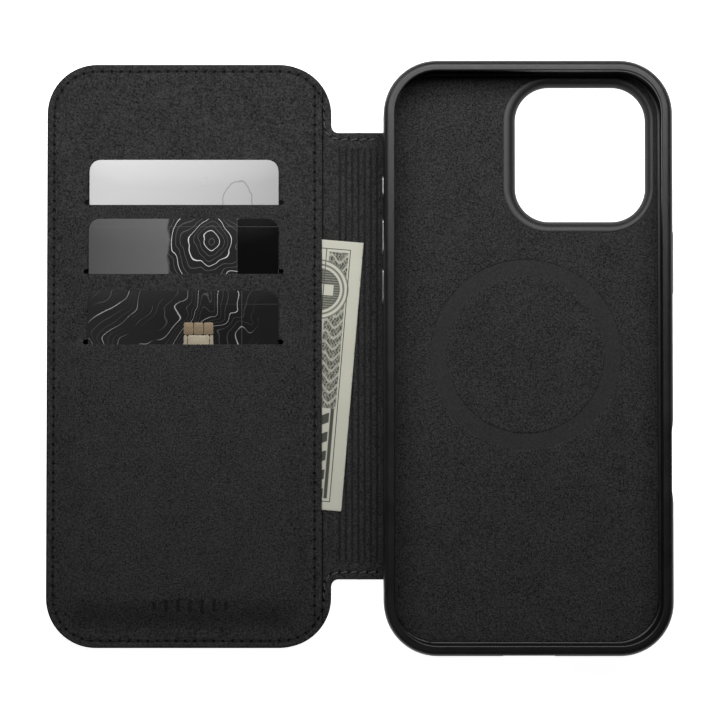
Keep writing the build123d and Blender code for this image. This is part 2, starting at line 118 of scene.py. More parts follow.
# ---------------------------------------------------------------- outlines
def filleted(corners, step, closed=True):
    """Points about every step along a polygon whose corners are (x, y, radius)."""
    turned = []
    count = len(corners)
    for number, (x, y, radius) in enumerate(corners):
        here = np.array((x, y), float)
        is_end = not closed and number in (0, count - 1)
        if radius == 0 or is_end:
            turned.append(here)
            continue
        back = np.array(corners[number - 1][:2]) - here
        ahead = np.array(corners[(number + 1) % count][:2]) - here
        back /= np.linalg.norm(back)
        ahead /= np.linalg.norm(ahead)
        half = math.acos(float(np.clip(back @ ahead, -1, 1))) / 2
        middle = (back + ahead) / np.linalg.norm(back + ahead)
        centre = here + middle * radius / math.sin(half)
        first = here + back * radius / math.tan(half) - centre
        last = here + ahead * radius / math.tan(half) - centre
        start = math.atan2(first[1], first[0])
        sweep = math.atan2(last[1], last[0]) - start
        sweep = (sweep + math.pi) % (2 * math.pi) - math.pi
        steps = max(3, math.ceil(abs(sweep) * radius / step))
        for i in range(steps + 1):
            angle = start + sweep * i / steps
            turned.append(centre + radius * np.array((math.cos(angle), math.sin(angle))))
    loop = []
    pairs = list(zip(turned, turned[1:]))
    if closed:
        pairs.append((turned[-1], turned[0]))
    for a, b in pairs:
        steps = max(1, round(np.linalg.norm(b - a) / step))
        loop += [a + (b - a) * i / steps for i in range(steps)]
    if not closed:
        loop.append(turned[-1])
    return np.array(loop)


def rounded_rectangle(low, high, radius, step=0.6):
    """Counter-clockwise loop round a rectangle with rounded corners."""
    places = ((high[0], high[1]), (low[0], high[1]), (low[0], low[1]), (high[0], low[1]))
    return filleted([(x, y, radius) for x, y in places], step)


def circle(centre, radius, step=0.6):
    """Counter-clockwise circle."""
    count = math.ceil(2 * math.pi * radius / step)
    angles = np.arange(count) * 2 * math.pi / count
    return np.stack([centre[0] + radius * np.cos(angles), centre[1] + radius * np.sin(angles)], 1)


def inset(loop, distance):
    """A counter-clockwise loop moved inwards by distance."""
    along = np.roll(loop, -1, 0) - np.roll(loop, 1, 0)
    inward = np.stack([-along[:, 1], along[:, 0]], 1)
    return loop + distance * inward / np.linalg.norm(inward, axis=1)[:, None]


def inside(loop, points):
    """True for each point that lies inside the loop."""
    result = np.zeros(len(points), bool)
    after = np.roll(loop, -1, 0)
    for (x0, y0), (x1, y1) in zip(loop, after):
        crosses = (y0 > points[:, 1]) != (y1 > points[:, 1])
        if y1 != y0:
            result ^= crosses & (points[:, 0] < (x1 - x0) * (points[:, 1] - y0) / (y1 - y0) + x0)
    return result


def distances(targets, points):
    """Distance from each point to the nearest of the targets."""
    tree = KDTree(len(targets))
    for number, (x, y) in enumerate(targets):
        tree.insert((x, y, 0), number)
    tree.balance()
    return np.array([tree.find((x, y, 0))[2] for x, y in points])


def grid(low, high, spacing):
    """Staggered rows of points over a rectangle."""
    rows = []
    row_step = spacing * math.sqrt(3) / 2
    for number, y in enumerate(np.arange(low[1], high[1], row_step)):
        xs = np.arange(low[0] + (number % 2) * spacing / 2, high[0], spacing)
        rows.append(np.stack([xs, np.full(len(xs), y)], 1))
    return np.vstack(rows)


def smooth_step(value):
    """0 below 0, 1 above 1, and a smooth rise between."""
    t = np.clip(value, 0, 1)
    return t * t * (3 - 2 * t)


def level(height):
    """A flat face at one height, as slab and stitches take it."""
    return lambda x, y: np.full_like(x, height)


def ripple(x, y, size, phase=0.0):
    """Gentle unevenness of a hand-laid sheet, from -1 to 1."""
    u, v = x / size, y / size
    first = np.sin(1.7 * u + 0.6 * v + phase) * np.cos(1.1 * v - 0.4 * u + 2.1 * phase)
    second = np.sin(3.1 * u - 2.3 * v + 1.3 + phase) * np.cos(2.7 * u + 1.9 * v)
    return 0.65 * first + 0.35 * second


# ---------------------------------------------------------------- meshes
def make_mesh(name, points, faces, material, sharp=()):
    """A smooth mesh object from points in millimetres."""
    mesh = bpy.data.meshes.new(name)
    mesh.from_pydata((np.asarray(points, float) * MM).tolist(), [], faces)
    mesh.validate()
    mesh.shade_smooth()
    if len(sharp):
        wanted = {tuple(sorted(pair)) for pair in sharp}
        marks = mesh.attributes.new("sharp_edge", "BOOLEAN", "EDGE")
        for edge in mesh.edges:
            marks.data[edge.index].value = tuple(sorted(edge.vertices)) in wanted
    mesh.materials.append(material)
    piece = bpy.data.objects.new(name, mesh)
    bpy.context.scene.collection.objects.link(piece)
    return piece


def keep_painted_shade(piece, values):
    """Keeps, at each point of a piece, how much painted shade darkens its colour: 0 none, 1 full."""
    piece.data.attributes.new("painted_shade", "FLOAT", "POINT").data.foreach_set("value", values)


def shade_points(piece, shade):
    """Keeps as painted shade what shade gives for the places of a piece's points."""
    points = np.array([tuple(v.co) for v in piece.data.vertices]) / MM
    keep_painted_shade(piece, np.clip(shade(points[:, 0], points[:, 1]), 0, 1))


def cut_area(outline, holes=()):
    """Area of a flat cut in square metres."""

    def enclosed(loop):
        x, y = loop[:, 0], loop[:, 1]
        return abs(x @ np.roll(y, -1) - y @ np.roll(x, -1)) / 2

    return float(enclosed(outline) - sum(enclosed(hole) for hole in holes)) * MM * MM


def triangles(outer, holes, inner):
    """Points and counter-clockwise triangles that fill a loop between its holes."""
    loops = [outer, *holes]
    points = np.vstack([*loops, inner]) if len(inner) else np.vstack(loops)
    edges = []
    first = 0
    for loop in loops:
        count = len(loop)
        edges += [(first + i, first + (i + 1) % count) for i in range(count)]
        first += count
    found = delaunay_2d_cdt([Vector(p) for p in points], edges, [], 1, 1e-6)
    corners = np.array([tuple(v) for v in found[0]])
    faces = np.array(found[2])
    middles = corners[faces].mean(1)
    keep = np.ones(len(faces), bool)
    for hole in holes:
        keep &= ~inside(hole, middles)
    faces = faces[keep]
    a, b, c = corners[faces[:, 0]], corners[faces[:, 1]], corners[faces[:, 2]]
    area = (b[:, 0] - a[:, 0]) * (c[:, 1] - a[:, 1]) - (b[:, 1] - a[:, 1]) * (c[:, 0] - a[:, 0])
    faces[area < 0] = faces[area < 0][:, ::-1]
    used = np.unique(faces)
    renumber = np.zeros(len(corners), int)
    renumber[used] = np.arange(len(used))
    return corners[used], renumber[faces]


def slab_parts(outer, holes, inner, top, bottom, edge, square_x=None):
    """Points, faces and sharp edges of a sheet between two heights, with rounded edges.

    top and bottom give heights for arrays x, y. A cut that lies at square_x stays square.
    """
    loops = [outer, *holes]
    rims = [loop if square_x is None else loop[abs(loop[:, 0] - square_x) > 1e-6] for loop in loops]
    rows = []
    for loop, sign in [(outer, 1)] + [(hole, -1) for hole in holes]:
        kept = np.ones(len(loop), bool)
        if square_x is not None:
            kept = abs(loop[:, 0] - square_x) > 1.2 * edge
        rows += [inset(loop, sign * edge * share)[kept] for share in (0.13, 0.5, 1.0)]
    near = np.vstack(rims)
    if len(inner):
        inner = inner[inside(outer, inner)]
        for hole in holes:
            inner = inner[~inside(hole, inner)]
        inner = inner[distances(np.vstack(loops), inner) > 1.6 * edge]
        rows.append(inner)
    points, faces = triangles(outer, holes, np.vstack(rows))
    x, y = points[:, 0], points[:, 1]
    short = np.clip(edge - distances(near, points), 0, edge)
    drop = edge - np.sqrt(edge**2 - short**2)
    count = len(points)
    upper = np.column_stack([x, y, top(x, y) - drop])
    solid = np.vstack([upper, np.column_stack([x, y, bottom(x, y) + drop])])
    lower = faces[:, ::-1] + count
    seen = {}
    for a, b, c in faces.tolist():
        for pair in ((a, b), (b, c), (c, a)):
            key = (min(pair), max(pair))
            seen[key] = None if key in seen else pair
    border = [pair for pair in seen.values() if pair is not None]
    sides = [(b, a, a + count, b + count) for a, b in border]
    sharp = []
    if square_x is not None:
        cut = [p for p in border if abs(x[p[0]] - square_x) < 1e-4 and abs(x[p[1]] - square_x) < 1e-4]
        sharp = cut + [(a + count, b + count) for a, b in cut]
    return solid, faces.tolist() + lower.tolist() + sides, sharp


def slab(name, material, outer, top, bottom, edge, holes=(), inner=(), square_x=None):
    """A sheet piece: see slab_parts."""
    points, faces, sharp = slab_parts(outer, list(holes), np.array(inner), top, bottom, edge, square_x)
    return make_mesh(name, points, faces, material, sharp)


def join_parts(name, material, parts):
    """One piece from several sets of (points, faces)."""
    points, faces, first = [], [], 0
    for some_points, some_faces in parts:
        points.append(some_points)
        faces += [[first + i for i in face] for face in some_faces]
        first += len(some_points)
    return make_mesh(name, np.vstack(points), faces, material)


def tube(path, radii, sides=8):
    """Closed tube round a path of points, with a radius at each of them."""
    path = np.array(path)
    along = np.gradient(path, axis=0)
    along /= np.linalg.norm(along, axis=1)[:, None]
    across = np.cross(along, (0, 0, 1))
    across /= np.linalg.norm(across, axis=1)[:, None]
    up = np.cross(across, along)
    points = []
    for centre, a, b, radius in zip(path, across, up, radii):
        for number in range(sides):
            angle = 2 * math.pi * number / sides
            points.append(centre + radius * (a * math.cos(angle) + b * math.sin(angle)))
    faces = []
    for ring in range(len(path) - 1):
        for number in range(sides):
            after = (number + 1) % sides
            low, high = ring * sides, (ring + 1) * sides
            faces.append((low + number, low + after, high + after, high + number))
    faces.append(tuple(range(sides))[::-1])
    faces.append(tuple((len(path) - 1) * sides + i for i in range(sides)))
    return np.array(points), faces


# ---------------------------------------------------------------- material helpers
class Nodes:
    """Short calls that build one material's node tree."""

    def __init__(self, name):
        self.material = bpy.data.materials.new(name)
        self.material.use_nodes = True
        self.tree = self.material.node_tree
        self.shader = self.tree.nodes["Principled BSDF"]
        self.place = self.add("ShaderNodeTexCoord").outputs["Object"]

    def add(self, kind, **settings):
        node = self.tree.nodes.new(kind)
        for key, value in settings.items():
            setattr(node, key, value)
        return node

    def link(self, value, socket):
        if isinstance(value, bpy.types.NodeSocket):
            self.tree.links.new(value, socket)
        else:
            socket.default_value = value

    def finish(self, **values):
        """Sets the shader's own sockets: numbers and colours as they are, and textures linked."""
        for key, value in values.items():
            self.link(value, self.shader.inputs[key.replace("_", " ")])
        return self.material

    def stretched(self, scale, turn=0.0):
        """Object position times a scale for each axis, turned about Z."""
        node = self.add("ShaderNodeMapping")
        self.link(self.place, node.inputs["Vector"])
        node.inputs["Scale"].default_value = scale
        node.inputs["Rotation"].default_value = (0, 0, turn)
        return node.outputs["Vector"]

    def noise(self, size_mm, detail=2.0, rough=0.5, vector=None, distortion=0.0):
        """Noise whose features are about size_mm across, from 0 to 1."""
        node = self.add("ShaderNodeTexNoise")
        self.link(self.place if vector is None else vector, node.inputs["Vector"])
        node.inputs["Scale"].default_value = 1 / (size_mm * MM)
        node.inputs["Detail"].default_value = detail
        node.inputs["Roughness"].default_value = rough
        node.inputs["Distortion"].default_value = distortion
        return node.outputs["Fac"]

    def cells(self, size_mm, feature):
        """Distance in a pattern of cells about size_mm across."""
        node = self.add("ShaderNodeTexVoronoi", feature=feature)
        self.link(self.place, node.inputs["Vector"])
        node.inputs["Scale"].default_value = 1 / (size_mm * MM)
        return node.outputs["Distance"]

    def math(self, operation, a, b=0.0, c=0.0):
        node = self.add("ShaderNodeMath", operation=operation)
        for socket, value in zip(node.inputs, (a, b, c)):
            self.link(value, socket)
        return node.outputs["Value"]

    def times(self, first, *others):
        """Product of two or more values."""
        for value in others:
            first = self.math("MULTIPLY", first, value)
        return first

    def plus(self, a, b):
        return self.math("ADD", a, b)

    def minus(self, a, b):
        return self.math("SUBTRACT", a, b)

    def size(self, value):
        return self.math("ABSOLUTE", value)

    def painted_shade(self):
        """Painted shade kept on a piece's points, from 0 to 1."""
        return self.add("ShaderNodeAttribute", attribute_name="painted_shade").outputs["Fac"]

    def remap(self, value, low, high, to_low=0.0, to_high=1.0, smooth=False):
        node = self.add("ShaderNodeMapRange", clamp=True)
        node.interpolation_type = "SMOOTHSTEP" if smooth else "LINEAR"
        for socket, number in zip(node.inputs, (value, low, high, to_low, to_high)):
            self.link(number, socket)
        return node.outputs["Result"]

    def mix(self, factor, a, b):
        """Colour a where factor is 0, and b where it is 1."""
        node = self.add("ShaderNodeMix", data_type="RGBA")
        colours = [socket for socket in node.inputs if socket.type == "RGBA"]
        self.link(factor, node.inputs["Factor"])
        self.link(a, colours[0])
        self.link(b, colours[1])
        return [socket for socket in node.outputs if socket.type == "RGBA"][0]

    def bump(self, height, depth_mm, before=None):
        """Bump whose full height is depth_mm."""
        node = self.add("ShaderNodeBump")
        node.inputs["Strength"].default_value = 1.0
        node.inputs["Distance"].default_value = depth_mm * MM
        self.link(height, node.inputs["Height"])
        if before is not None:
            self.link(before, node.inputs["Normal"])
        return node.outputs["Normal"]

    def split(self, vector=None):
        """The x, y and z of a vector."""
        node = self.add("ShaderNodeSeparateXYZ")
        self.link(self.place if vector is None else vector, node.inputs[0])
        return node.outputs


def grey(value, warmth=0.0):
    return (value * (1 + warmth), value, value * (1 - warmth), 1)


# ---------------------------------------------------------------- materials
NAP_CONTRAST = 0.88


def microfibre(name, value):
    """Short dark nap: specks of light and dark fibres over a faint cloudiness, painted black where the
    points keep painted shade.
    """
    m = Nodes(name)
    specks = m.noise(0.44, detail=3, rough=0.65)
    fibres = m.noise(0.5, detail=2, rough=0.6, vector=m.stretched((1.0, 0.4, 1.0), 0.6))
    across = m.noise(0.5, detail=2, rough=0.6, vector=m.stretched((0.4, 1.0, 1.0), -0.5))
    clouds = m.noise(7.0, detail=3, rough=0.6)
    crossed = m.math("MAXIMUM", fibres, across)
    nap = m.plus(m.times(specks, 0.65), m.times(crossed, 0.35))
    light = m.remap(nap, 0.4, 0.66)
    patches = m.times(m.remap(clouds, 0.3, 0.7), 0.12)
    tone = m.plus(m.times(light, 0.88), patches)
    nap_colour = m.mix(tone, grey(value * (1 - NAP_CONTRAST)), grey(value * (1 + NAP_CONTRAST)))
    # Painted shade: the nap turns black in needle holes, seams, grooves and pressed bars, and beside the
    # panel's edge, as the points keep it.
    colour = m.mix(m.painted_shade(), nap_colour, grey(0.001))
    normal = m.bump(nap, 0.2, before=m.bump(clouds, 0.12))
    return m.finish(
        Base_Color=colour,
        Roughness=0.92,
        Sheen_Weight=0.06,
        Sheen_Roughness=0.5,
        Sheen_Tint=(0.8, 0.8, 0.8, 1),
        Specular_IOR_Level=0.08,
        Normal=normal,
    )


def leather(name):
    """Black leather with a fine pebbled grain, its colour painted darker in the creases between the
    pebbles and lighter on their high spots, as shade.
    """
    m = Nodes(name)
    pebbles = m.cells(0.9, feature="SMOOTH_F1")
    creases = m.cells(0.9, feature="DISTANCE_TO_EDGE")
    fine = m.noise(0.25, detail=3, rough=0.6)
    worn = m.noise(14.0, detail=4, rough=0.6)
    valley = m.remap(creases, 0.0, 0.12)
    domes = m.times(m.minus(1.0, pebbles), 0.3)
    height = m.plus(m.times(valley, 0.7), domes)
    # Painted shade: the colour is darkest in the grain's creases, times a random wear.
    tone = m.times(valley, m.remap(worn, 0.3, 0.7, 0.6, 1.0))
    colour = m.mix(tone, grey(0.003), grey(0.011, 0.02))
    rough = m.remap(worn, 0.3, 0.7, 0.42, 0.58)
    normal = m.bump(fine, 0.03, before=m.bump(height, 0.09))
    return m.finish(Base_Color=colour, Roughness=rough, Specular_IOR_Level=0.3, Normal=normal)


def plastic_grain(m):
    """A very fine spark-eroded grain, and faint marks of handling."""
    grain = m.noise(0.12, detail=2, rough=0.6)
    marks = m.noise(9.0, detail=4, rough=0.65, distortion=0.6)
    return m.bump(grain, 0.012), marks


def moulded(name, value, rough, shine=0.5):
    """Moulded plastic, grained and a little handled."""
    m = Nodes(name)
    normal, marks = plastic_grain(m)
    colour = m.mix(m.remap(marks, 0.35, 0.7), grey(value * 0.85), grey(value * 1.15))
    roughness = m.remap(marks, 0.3, 0.7, rough - 0.05, rough + 0.07)
    return m.finish(Base_Color=colour, Roughness=roughness, Specular_IOR_Level=shine, Normal=normal)


def funnel_skin(name):
    """The same plastic, painted lighter than the bumper on the bezel's ridge as a highlight, and painted
    darker down its funnel as shade.
    """
    m = Nodes(name)
    normal, marks = plastic_grain(m)
    # Painted highlight: a lighter colour than the bumper's, for the ridge.
    ridge = m.mix(marks, grey(0.042), grey(0.052))
    return m.finish(
        # Painted shade down the funnel, from the points.
        Base_Color=m.mix(m.painted_shade(), ridge, grey(0.003)),
        Roughness=m.remap(marks, 0.3, 0.7, 0.38, 0.48),
        Specular_IOR_Level=0.15,
        Normal=normal,
    )


def thread(name):
    """Black waxed thread with a twist, painted darker as shade where it lies sunk in the panel and lighter
    where it lies open across the spine, its twist painted in lighter bands as highlights.
    """
    m = Nodes(name)
    twist = m.add("ShaderNodeTexWave", wave_type="BANDS", bands_direction="DIAGONAL")
    m.link(m.place, twist.inputs["Vector"])
    twist.inputs["Scale"].default_value = 900
    twist.inputs["Distortion"].default_value = 1.5
    ridge = twist.outputs["Fac"]
    # Painted light: the sunk thread is darker as shade, the open thread lighter, and the twist's bands
    # lighter as highlights.
    open_part = m.remap(m.split()["X"], (PANEL_RIGHT - 0.4) * MM, (PANEL_RIGHT + 1.2) * MM, smooth=True)
    sunk_painted_shade = m.mix(ridge, grey(0.004), grey(0.010))
    open_painted_light = m.mix(ridge, grey(0.03), grey(0.075))
    return m.finish(
        Base_Color=m.mix(open_part, sunk_painted_shade, open_painted_light),
        Roughness=0.6,
        Specular_IOR_Level=0.15,
        Normal=m.bump(ridge, 0.05),
    )


def blasted_metal(name, value):
    """Bead-blasted aluminium, a little worn in patches."""
    m = Nodes(name)
    grain = m.noise(0.09, detail=2, rough=0.5)
    wear = m.noise(1.6, detail=3, rough=0.6)
    colour = m.mix(wear, grey(value * 0.85), grey(value, 0.01))
    rough = m.remap(wear, 0.3, 0.7, 0.3, 0.42)
    return m.finish(Base_Color=colour, Metallic=1.0, Roughness=rough, Normal=m.bump(grain, 0.008))


def away_from(m, xyz, centre, stretch=1.0):
    """Distance from a centre in millimetres, with the distance along y shrunk by stretch."""
    x = m.math("MULTIPLY_ADD", xyz["X"], 1 / MM, -centre[0])
    y = m.math("MULTIPLY_ADD", xyz["Y"], 1 / (MM * stretch), -centre[1] / stretch)
    return m.math("SQRT", m.plus(m.times(x, x), m.times(y, y)))


def contour_lines(m, size_mm, swing_mm, pitch_mm, width, lean=(1.0, 0.2), seed=0.0, centre=None):
    """Thin wavy lines that run side by side, as on a hill map.

    They lie pitch_mm apart across lean, or in rings about a centre, and a smooth noise of size_mm
    swings them by swing_mm. The second value is 1 along every third line.
    """
    shift = m.add("ShaderNodeVectorMath", operation="MULTIPLY_ADD")
    m.link(m.place, shift.inputs[0])
    shift.inputs[1].default_value = (1, 1, 0)
    shift.inputs[2].default_value = (seed, seed * 0.7, 0)
    hills = m.noise(size_mm, detail=1.2, rough=0.35, vector=shift.outputs[0], distortion=0.5)
    xyz = m.split()
    if centre is None:
        run = m.math("MULTIPLY_ADD", xyz["X"], lean[0] / MM, m.times(xyz["Y"], lean[1] / MM))
    else:
        run = away_from(m, xyz, centre)
    field = m.times(m.math("MULTIPLY_ADD", hills, swing_mm, run), 1 / pitch_mm)
    away = m.size(m.minus(m.math("FRACT", field), 0.5))
    third = m.math("FRACT", m.times(m.math("FLOOR", field), 1 / 3))
    bold = m.remap(third, 0.1, 0.2, 1.0, 0.0)
    lines = m.minus(1.0, m.remap(away, width * 0.5, width * 1.3))
    return lines, bold


SILVER_SHINE = 0.25
DARK_SHINE = 0.03


def plastic_face(m, colour, specular):
    """Fine satin print of a card, with faint marks of handling."""
    grain = m.noise(0.15, detail=2)
    handled = m.noise(12.0, detail=4, rough=0.65)
    rough = m.remap(handled, 0.3, 0.7, 0.26, 0.36)
    normal = m.bump(grain, 0.003)
    return m.finish(Base_Color=colour, Roughness=rough, Specular_IOR_Level=specular, Normal=normal)


def window_mm(m, value, low, high, soft):
    """1 between two places in millimetres along an axis, with soft ends."""
    rise = m.remap(value, (low - soft) * MM, (low + soft) * MM, smooth=True)
    fall = m.remap(value, (high - soft) * MM, (high + soft) * MM, 1.0, 0.0, smooth=True)
    return m.times(rise, fall)


def ruled_line(m, value, end):
    """A hairline that ends at one place along an axis."""
    return window_mm(m, value, end - 0.15, end, 0.05)


def silver_card(name):
    """Light card with a soft shade to the right, and one faint loop at its lower right."""
    m = Nodes(name)
    xyz = m.split()
    shade = m.remap(xyz["X"], CARD_LEFT * MM, (CARD_X + 27) * MM)
    ground = m.mix(m.math("POWER", shade, 1.6), grey(0.46), grey(0.29))
    far = away_from(m, xyz, (CARD_X + 15.4, SLIT_Y[0] + 0.2), 1.6)
    wobble = m.times(m.minus(m.noise(5.0, detail=2), 0.5), 2.2)
    off_loop = m.size(m.minus(m.plus(far, wobble), 4.2))
    loop = m.remap(off_loop, 0.08, 0.24, 1.0, 0.0)
    return plastic_face(m, m.mix(m.times(loop, 0.6), ground, grey(0.12)), SILVER_SHINE)


def grey_card(name):
    """Grey card that turns black from its middle on, with contour lines up to a plain right end."""
    m = Nodes(name)
    xyz = m.split()
    x = xyz["X"]
    wander = m.times(m.minus(m.noise(4.0, detail=2), 0.5), 2.2 * MM)
    bent = m.plus(x, wander)
    black_from, plain_from, beyond = CARD_X - 4.2, CARD_X + 15.3, CARD_X + 60
    left = m.remap(x, CARD_LEFT * MM, (CARD_X - 5) * MM)
    ground = m.mix(left, grey(0.066), grey(0.098))
    ground = m.mix(window_mm(m, bent, black_from, beyond, 0.5), ground, grey(0.014))
    ground = m.mix(window_mm(m, x, plain_from, beyond, 0.15), ground, grey(0.0015))
    peak = (CARD_X + 8.0, SLIT_Y[1] + 9.0)
    lines, bold = contour_lines(m, 7, 6.5, 1.5, 0.06, seed=0.137, centre=peak)
    light = m.mix(bold, grey(0.075), grey(0.55))
    where = window_mm(m, bent, black_from, plain_from - 0.1, 0.5)
    top = cards["card_middle"][1][1]
    upright = ruled_line(m, x, plain_from)
    rules = m.math("MAXIMUM", upright, ruled_line(m, xyz["Y"], top - 2.2))
    colour = m.mix(m.times(rules, 0.35), ground, grey(0.11))
    return plastic_face(m, m.mix(m.times(lines, where), colour, light), DARK_SHINE)


def black_card(name):
    """Near-black card with pale contour lines and faint ruled lines."""
    m = Nodes(name)
    xyz = m.split()
    x = xyz["X"]
    left = m.remap(x, CARD_LEFT * MM, (CARD_X + 10) * MM)
    ground = m.mix(left, grey(0.017), grey(0.009))
    lines, bold = contour_lines(m, 11, 15, 1.7, 0.05, lean=(0.85, -0.55), seed=0.291)
    light = m.mix(bold, grey(0.045), grey(0.3))
    patches = m.remap(m.noise(10.0, detail=1), 0.36, 0.5)
    where = m.times(window_mm(m, x, CARD_LEFT, CARD_X + 19, 3.0), patches)
    top = cards["card_lower"][1][1]
    level_line = m.times(ruled_line(m, xyz["Y"], top - 3.75), m.remap(x, CARD_X * MM, 0))
    rules = m.math("MAXIMUM", ruled_line(m, x, CARD_X + 16.75), level_line)
    colour = m.mix(m.times(rules, 0.5), ground, grey(0.1))
    return plastic_face(m, m.mix(m.times(lines, where), colour, light), DARK_SHINE)


def gold(name):
    """Gold-plated contacts with fine brushing, paler in the lower field."""
    m = Nodes(name)
    brushed = m.noise(0.2, detail=2, vector=m.stretched((0.12, 1.0, 1.0)))
    split_y = box_mm("card_chip")[1][1] - CHIP_ROW
    upper = m.remap(m.split()["Y"], (split_y - 0.1) * MM, (split_y + 0.1) * MM)
    dark = m.mix(upper, (0.19, 0.165, 0.12, 1), (0.13, 0.095, 0.055, 1))
    light = m.mix(upper, (0.31, 0.27, 0.2, 1), (0.21, 0.155, 0.095, 1))
    return m.finish(
        Base_Color=m.mix(brushed, dark, light),
        Metallic=0.3,
        Roughness=0.5,
        Specular_IOR_Level=0.4,
        Normal=m.bump(brushed, 0.006),
    )


def ring_skin(name):
    """Dark matt film, faintly speckled."""
    m = Nodes(name)
    clouds = m.noise(5.0, detail=3)
    grain = m.noise(0.44, detail=3, rough=0.65)
    speckle = m.times(m.remap(grain, 0.38, 0.62), 0.7)
    tone = m.plus(speckle, m.times(clouds, 0.3))
    colour = m.mix(tone, grey(0.0115), grey(0.0265))
    return m.finish(Base_Color=colour, Roughness=0.8, Specular_IOR_Level=0.15, Normal=m.bump(grain, 0.02))


def fibre_board(name):
    m = Nodes(name)
    fibres = m.noise(0.6, detail=4, rough=0.7)
    colour = m.mix(fibres, (0.10, 0.085, 0.07, 1), (0.16, 0.14, 0.115, 1))
    return m.finish(Base_Color=colour, Roughness=0.9, Normal=m.bump(fibres, 0.05))


def nickel(name):
    m = Nodes(name)
    fine = m.noise(0.3, detail=3)
    colour = m.mix(fine, grey(0.5), grey(0.62))
    return m.finish(Base_Color=colour, Metallic=1.0, Roughness=0.25, Normal=m.bump(fine, 0.004))


def floor_surface(name):
    """White ground that glows, so that it stays white under a dim light."""
    m = Nodes(name)
    fine = m.noise(30.0, detail=2)
    colour = m.mix(fine, grey(0.80), grey(0.82))
    glow = {"Emission_Color": (1, 1, 1, 1), "Emission_Strength": 0.95}
    return m.finish(Base_Color=colour, Roughness=0.9, **glow)


NOTE_TILT = math.radians(4.77)
NOTE_EDGE = np.array((-1.78, -5.55))
NOTE_WIDTH = 66.3
NOTE_HEIGHT = 76.9
NOTE_WAVE = 0.09


def note_paper(name):
    """Cream cotton paper with an engraved frame, worked out from the note's own edges.

    u runs in from the note's right edge and v up from its middle, both in millimetres.
    """
    m = Nodes(name)
    move = m.add("ShaderNodeMapping", vector_type="POINT")
    m.link(m.place, move.inputs["Vector"])
    cos, sin = math.cos(NOTE_TILT), math.sin(NOTE_TILT)
    ex, ey = NOTE_EDGE * MM
    move.inputs["Rotation"].default_value = (0, 0, NOTE_TILT)
    move.inputs["Location"].default_value = (-(ex * cos - ey * sin), -(ex * sin + ey * cos), 0)
    parts = m.split(move.outputs["Vector"])
    u = m.times(parts["X"], -1 / MM)
    v = m.times(parts["Y"], 1 / MM)
    up = m.size(v)

    def band(value, low, high, soft=0.12):
        rise = m.remap(value, low - soft, low + soft)
        fall = m.remap(value, high - soft, high + soft, 1.0, 0.0)
        return m.times(rise, fall)

    def waves(value, pitch, depth=1.0):
        return m.times(m.math("SINE", m.times(value, 2 * math.pi / pitch)), depth)

    # The engraved border: fine lines one way, and dark and light patches over them
    in_height = band(up, -1.0, 35.2)
    border = m.times(band(u, 3.9, 9.4), in_height)
    bent = m.plus(u, waves(v, 2.6, 0.35))
    hatch = m.remap(waves(bent, 0.9), -0.6, 0.3, 0.7, 1.0)
    leaves = m.remap(waves(m.plus(v, waves(u, 5.0, 1.1)), 3.1), -0.95, -0.4, 0.4, 1.0)
    scrolls = m.remap(m.cells(1.3, feature="DISTANCE_TO_EDGE"), 0.01, 0.07, 0.5, 1.0)
    lace = m.times(hatch, leaves, scrolls)
    rules = m.math("MAXIMUM", band(u, 3.3, 3.55, 0.06), band(u, 10.1, 10.35, 0.06))
    rules = m.times(rules, band(up, -1.0, 36.1))
    ends = m.times(band(up, 35.9, 36.15, 0.06), band(u, 3.35, 40))
    rules = m.math("MAXIMUM", rules, ends)
    # An oval panel in the corner, with two plain rims and a plain bar across it
    side_x = m.minus(u, 11.6)
    side_y = m.minus(v, 24.2)
    radius = m.math("SQRT", m.plus(m.times(side_x, side_x), m.times(side_y, side_y)))
    in_oval = m.remap(radius, 8.5, 8.65, 1.0, 0.0)
    rim_lines = m.remap(waves(radius, 1.35), -0.1, 0.5)
    ruled = m.remap(waves(v, 0.7), -0.9, 0.3, 0.6, 0.95)
    field = m.times(m.remap(radius, 6.0, 6.2, 1.0, 0.0), ruled)
    bar = m.times(m.remap(m.size(side_y), 1.5, 1.6, 1.0, 0.0), band(u, 7.4, 30))
    oval = m.times(m.math("MAXIMUM", field, m.times(rim_lines, 0.75)), m.minus(1.0, bar))
    # Plain wedges and blocks stand where a real note has its words
    low_part = m.remap(v, -9.6, -9.4, 1.0, 0.0)
    cell = m.minus(m.math("FRACT", m.times(v, 1 / 5.4)), 0.5)
    slope = m.times(m.minus(u, 8.6), 0.09)
    wedge = m.remap(m.size(m.plus(cell, slope)), 0.24, 0.29, 1.0, 0.0)
    block = m.times(m.minus(1.0, m.times(wedge, band(u, 5.6, 20))), band(u, 5.3, 20))
    words = m.minus(1.0, m.times(block, 0.95))
    lettered = m.times(low_part, in_height, band(u, 4.3, 20), words)
    ink = m.plus(m.times(border, lace, m.minus(1.0, low_part)), lettered)
    ink = m.plus(m.times(ink, m.minus(1.0, in_oval)), m.times(in_oval, oval))
    ink = m.math("MAXIMUM", ink, rules)
    fibres = m.noise(0.35, detail=3, rough=0.6)
    stain = m.noise(16.0, detail=3)
    paper = m.mix(stain, (0.40, 0.397, 0.335, 1), (0.46, 0.457, 0.39, 1))
    colour = m.mix(m.times(ink, 0.94), paper, (0.03, 0.033, 0.027, 1))
    return m.finish(Base_Color=colour, Roughness=0.85, Specular_IOR_Level=0.2, Normal=m.bump(fibres, 0.03))


MICROFIBRE = microfibre("microfibre", value=0.0235)
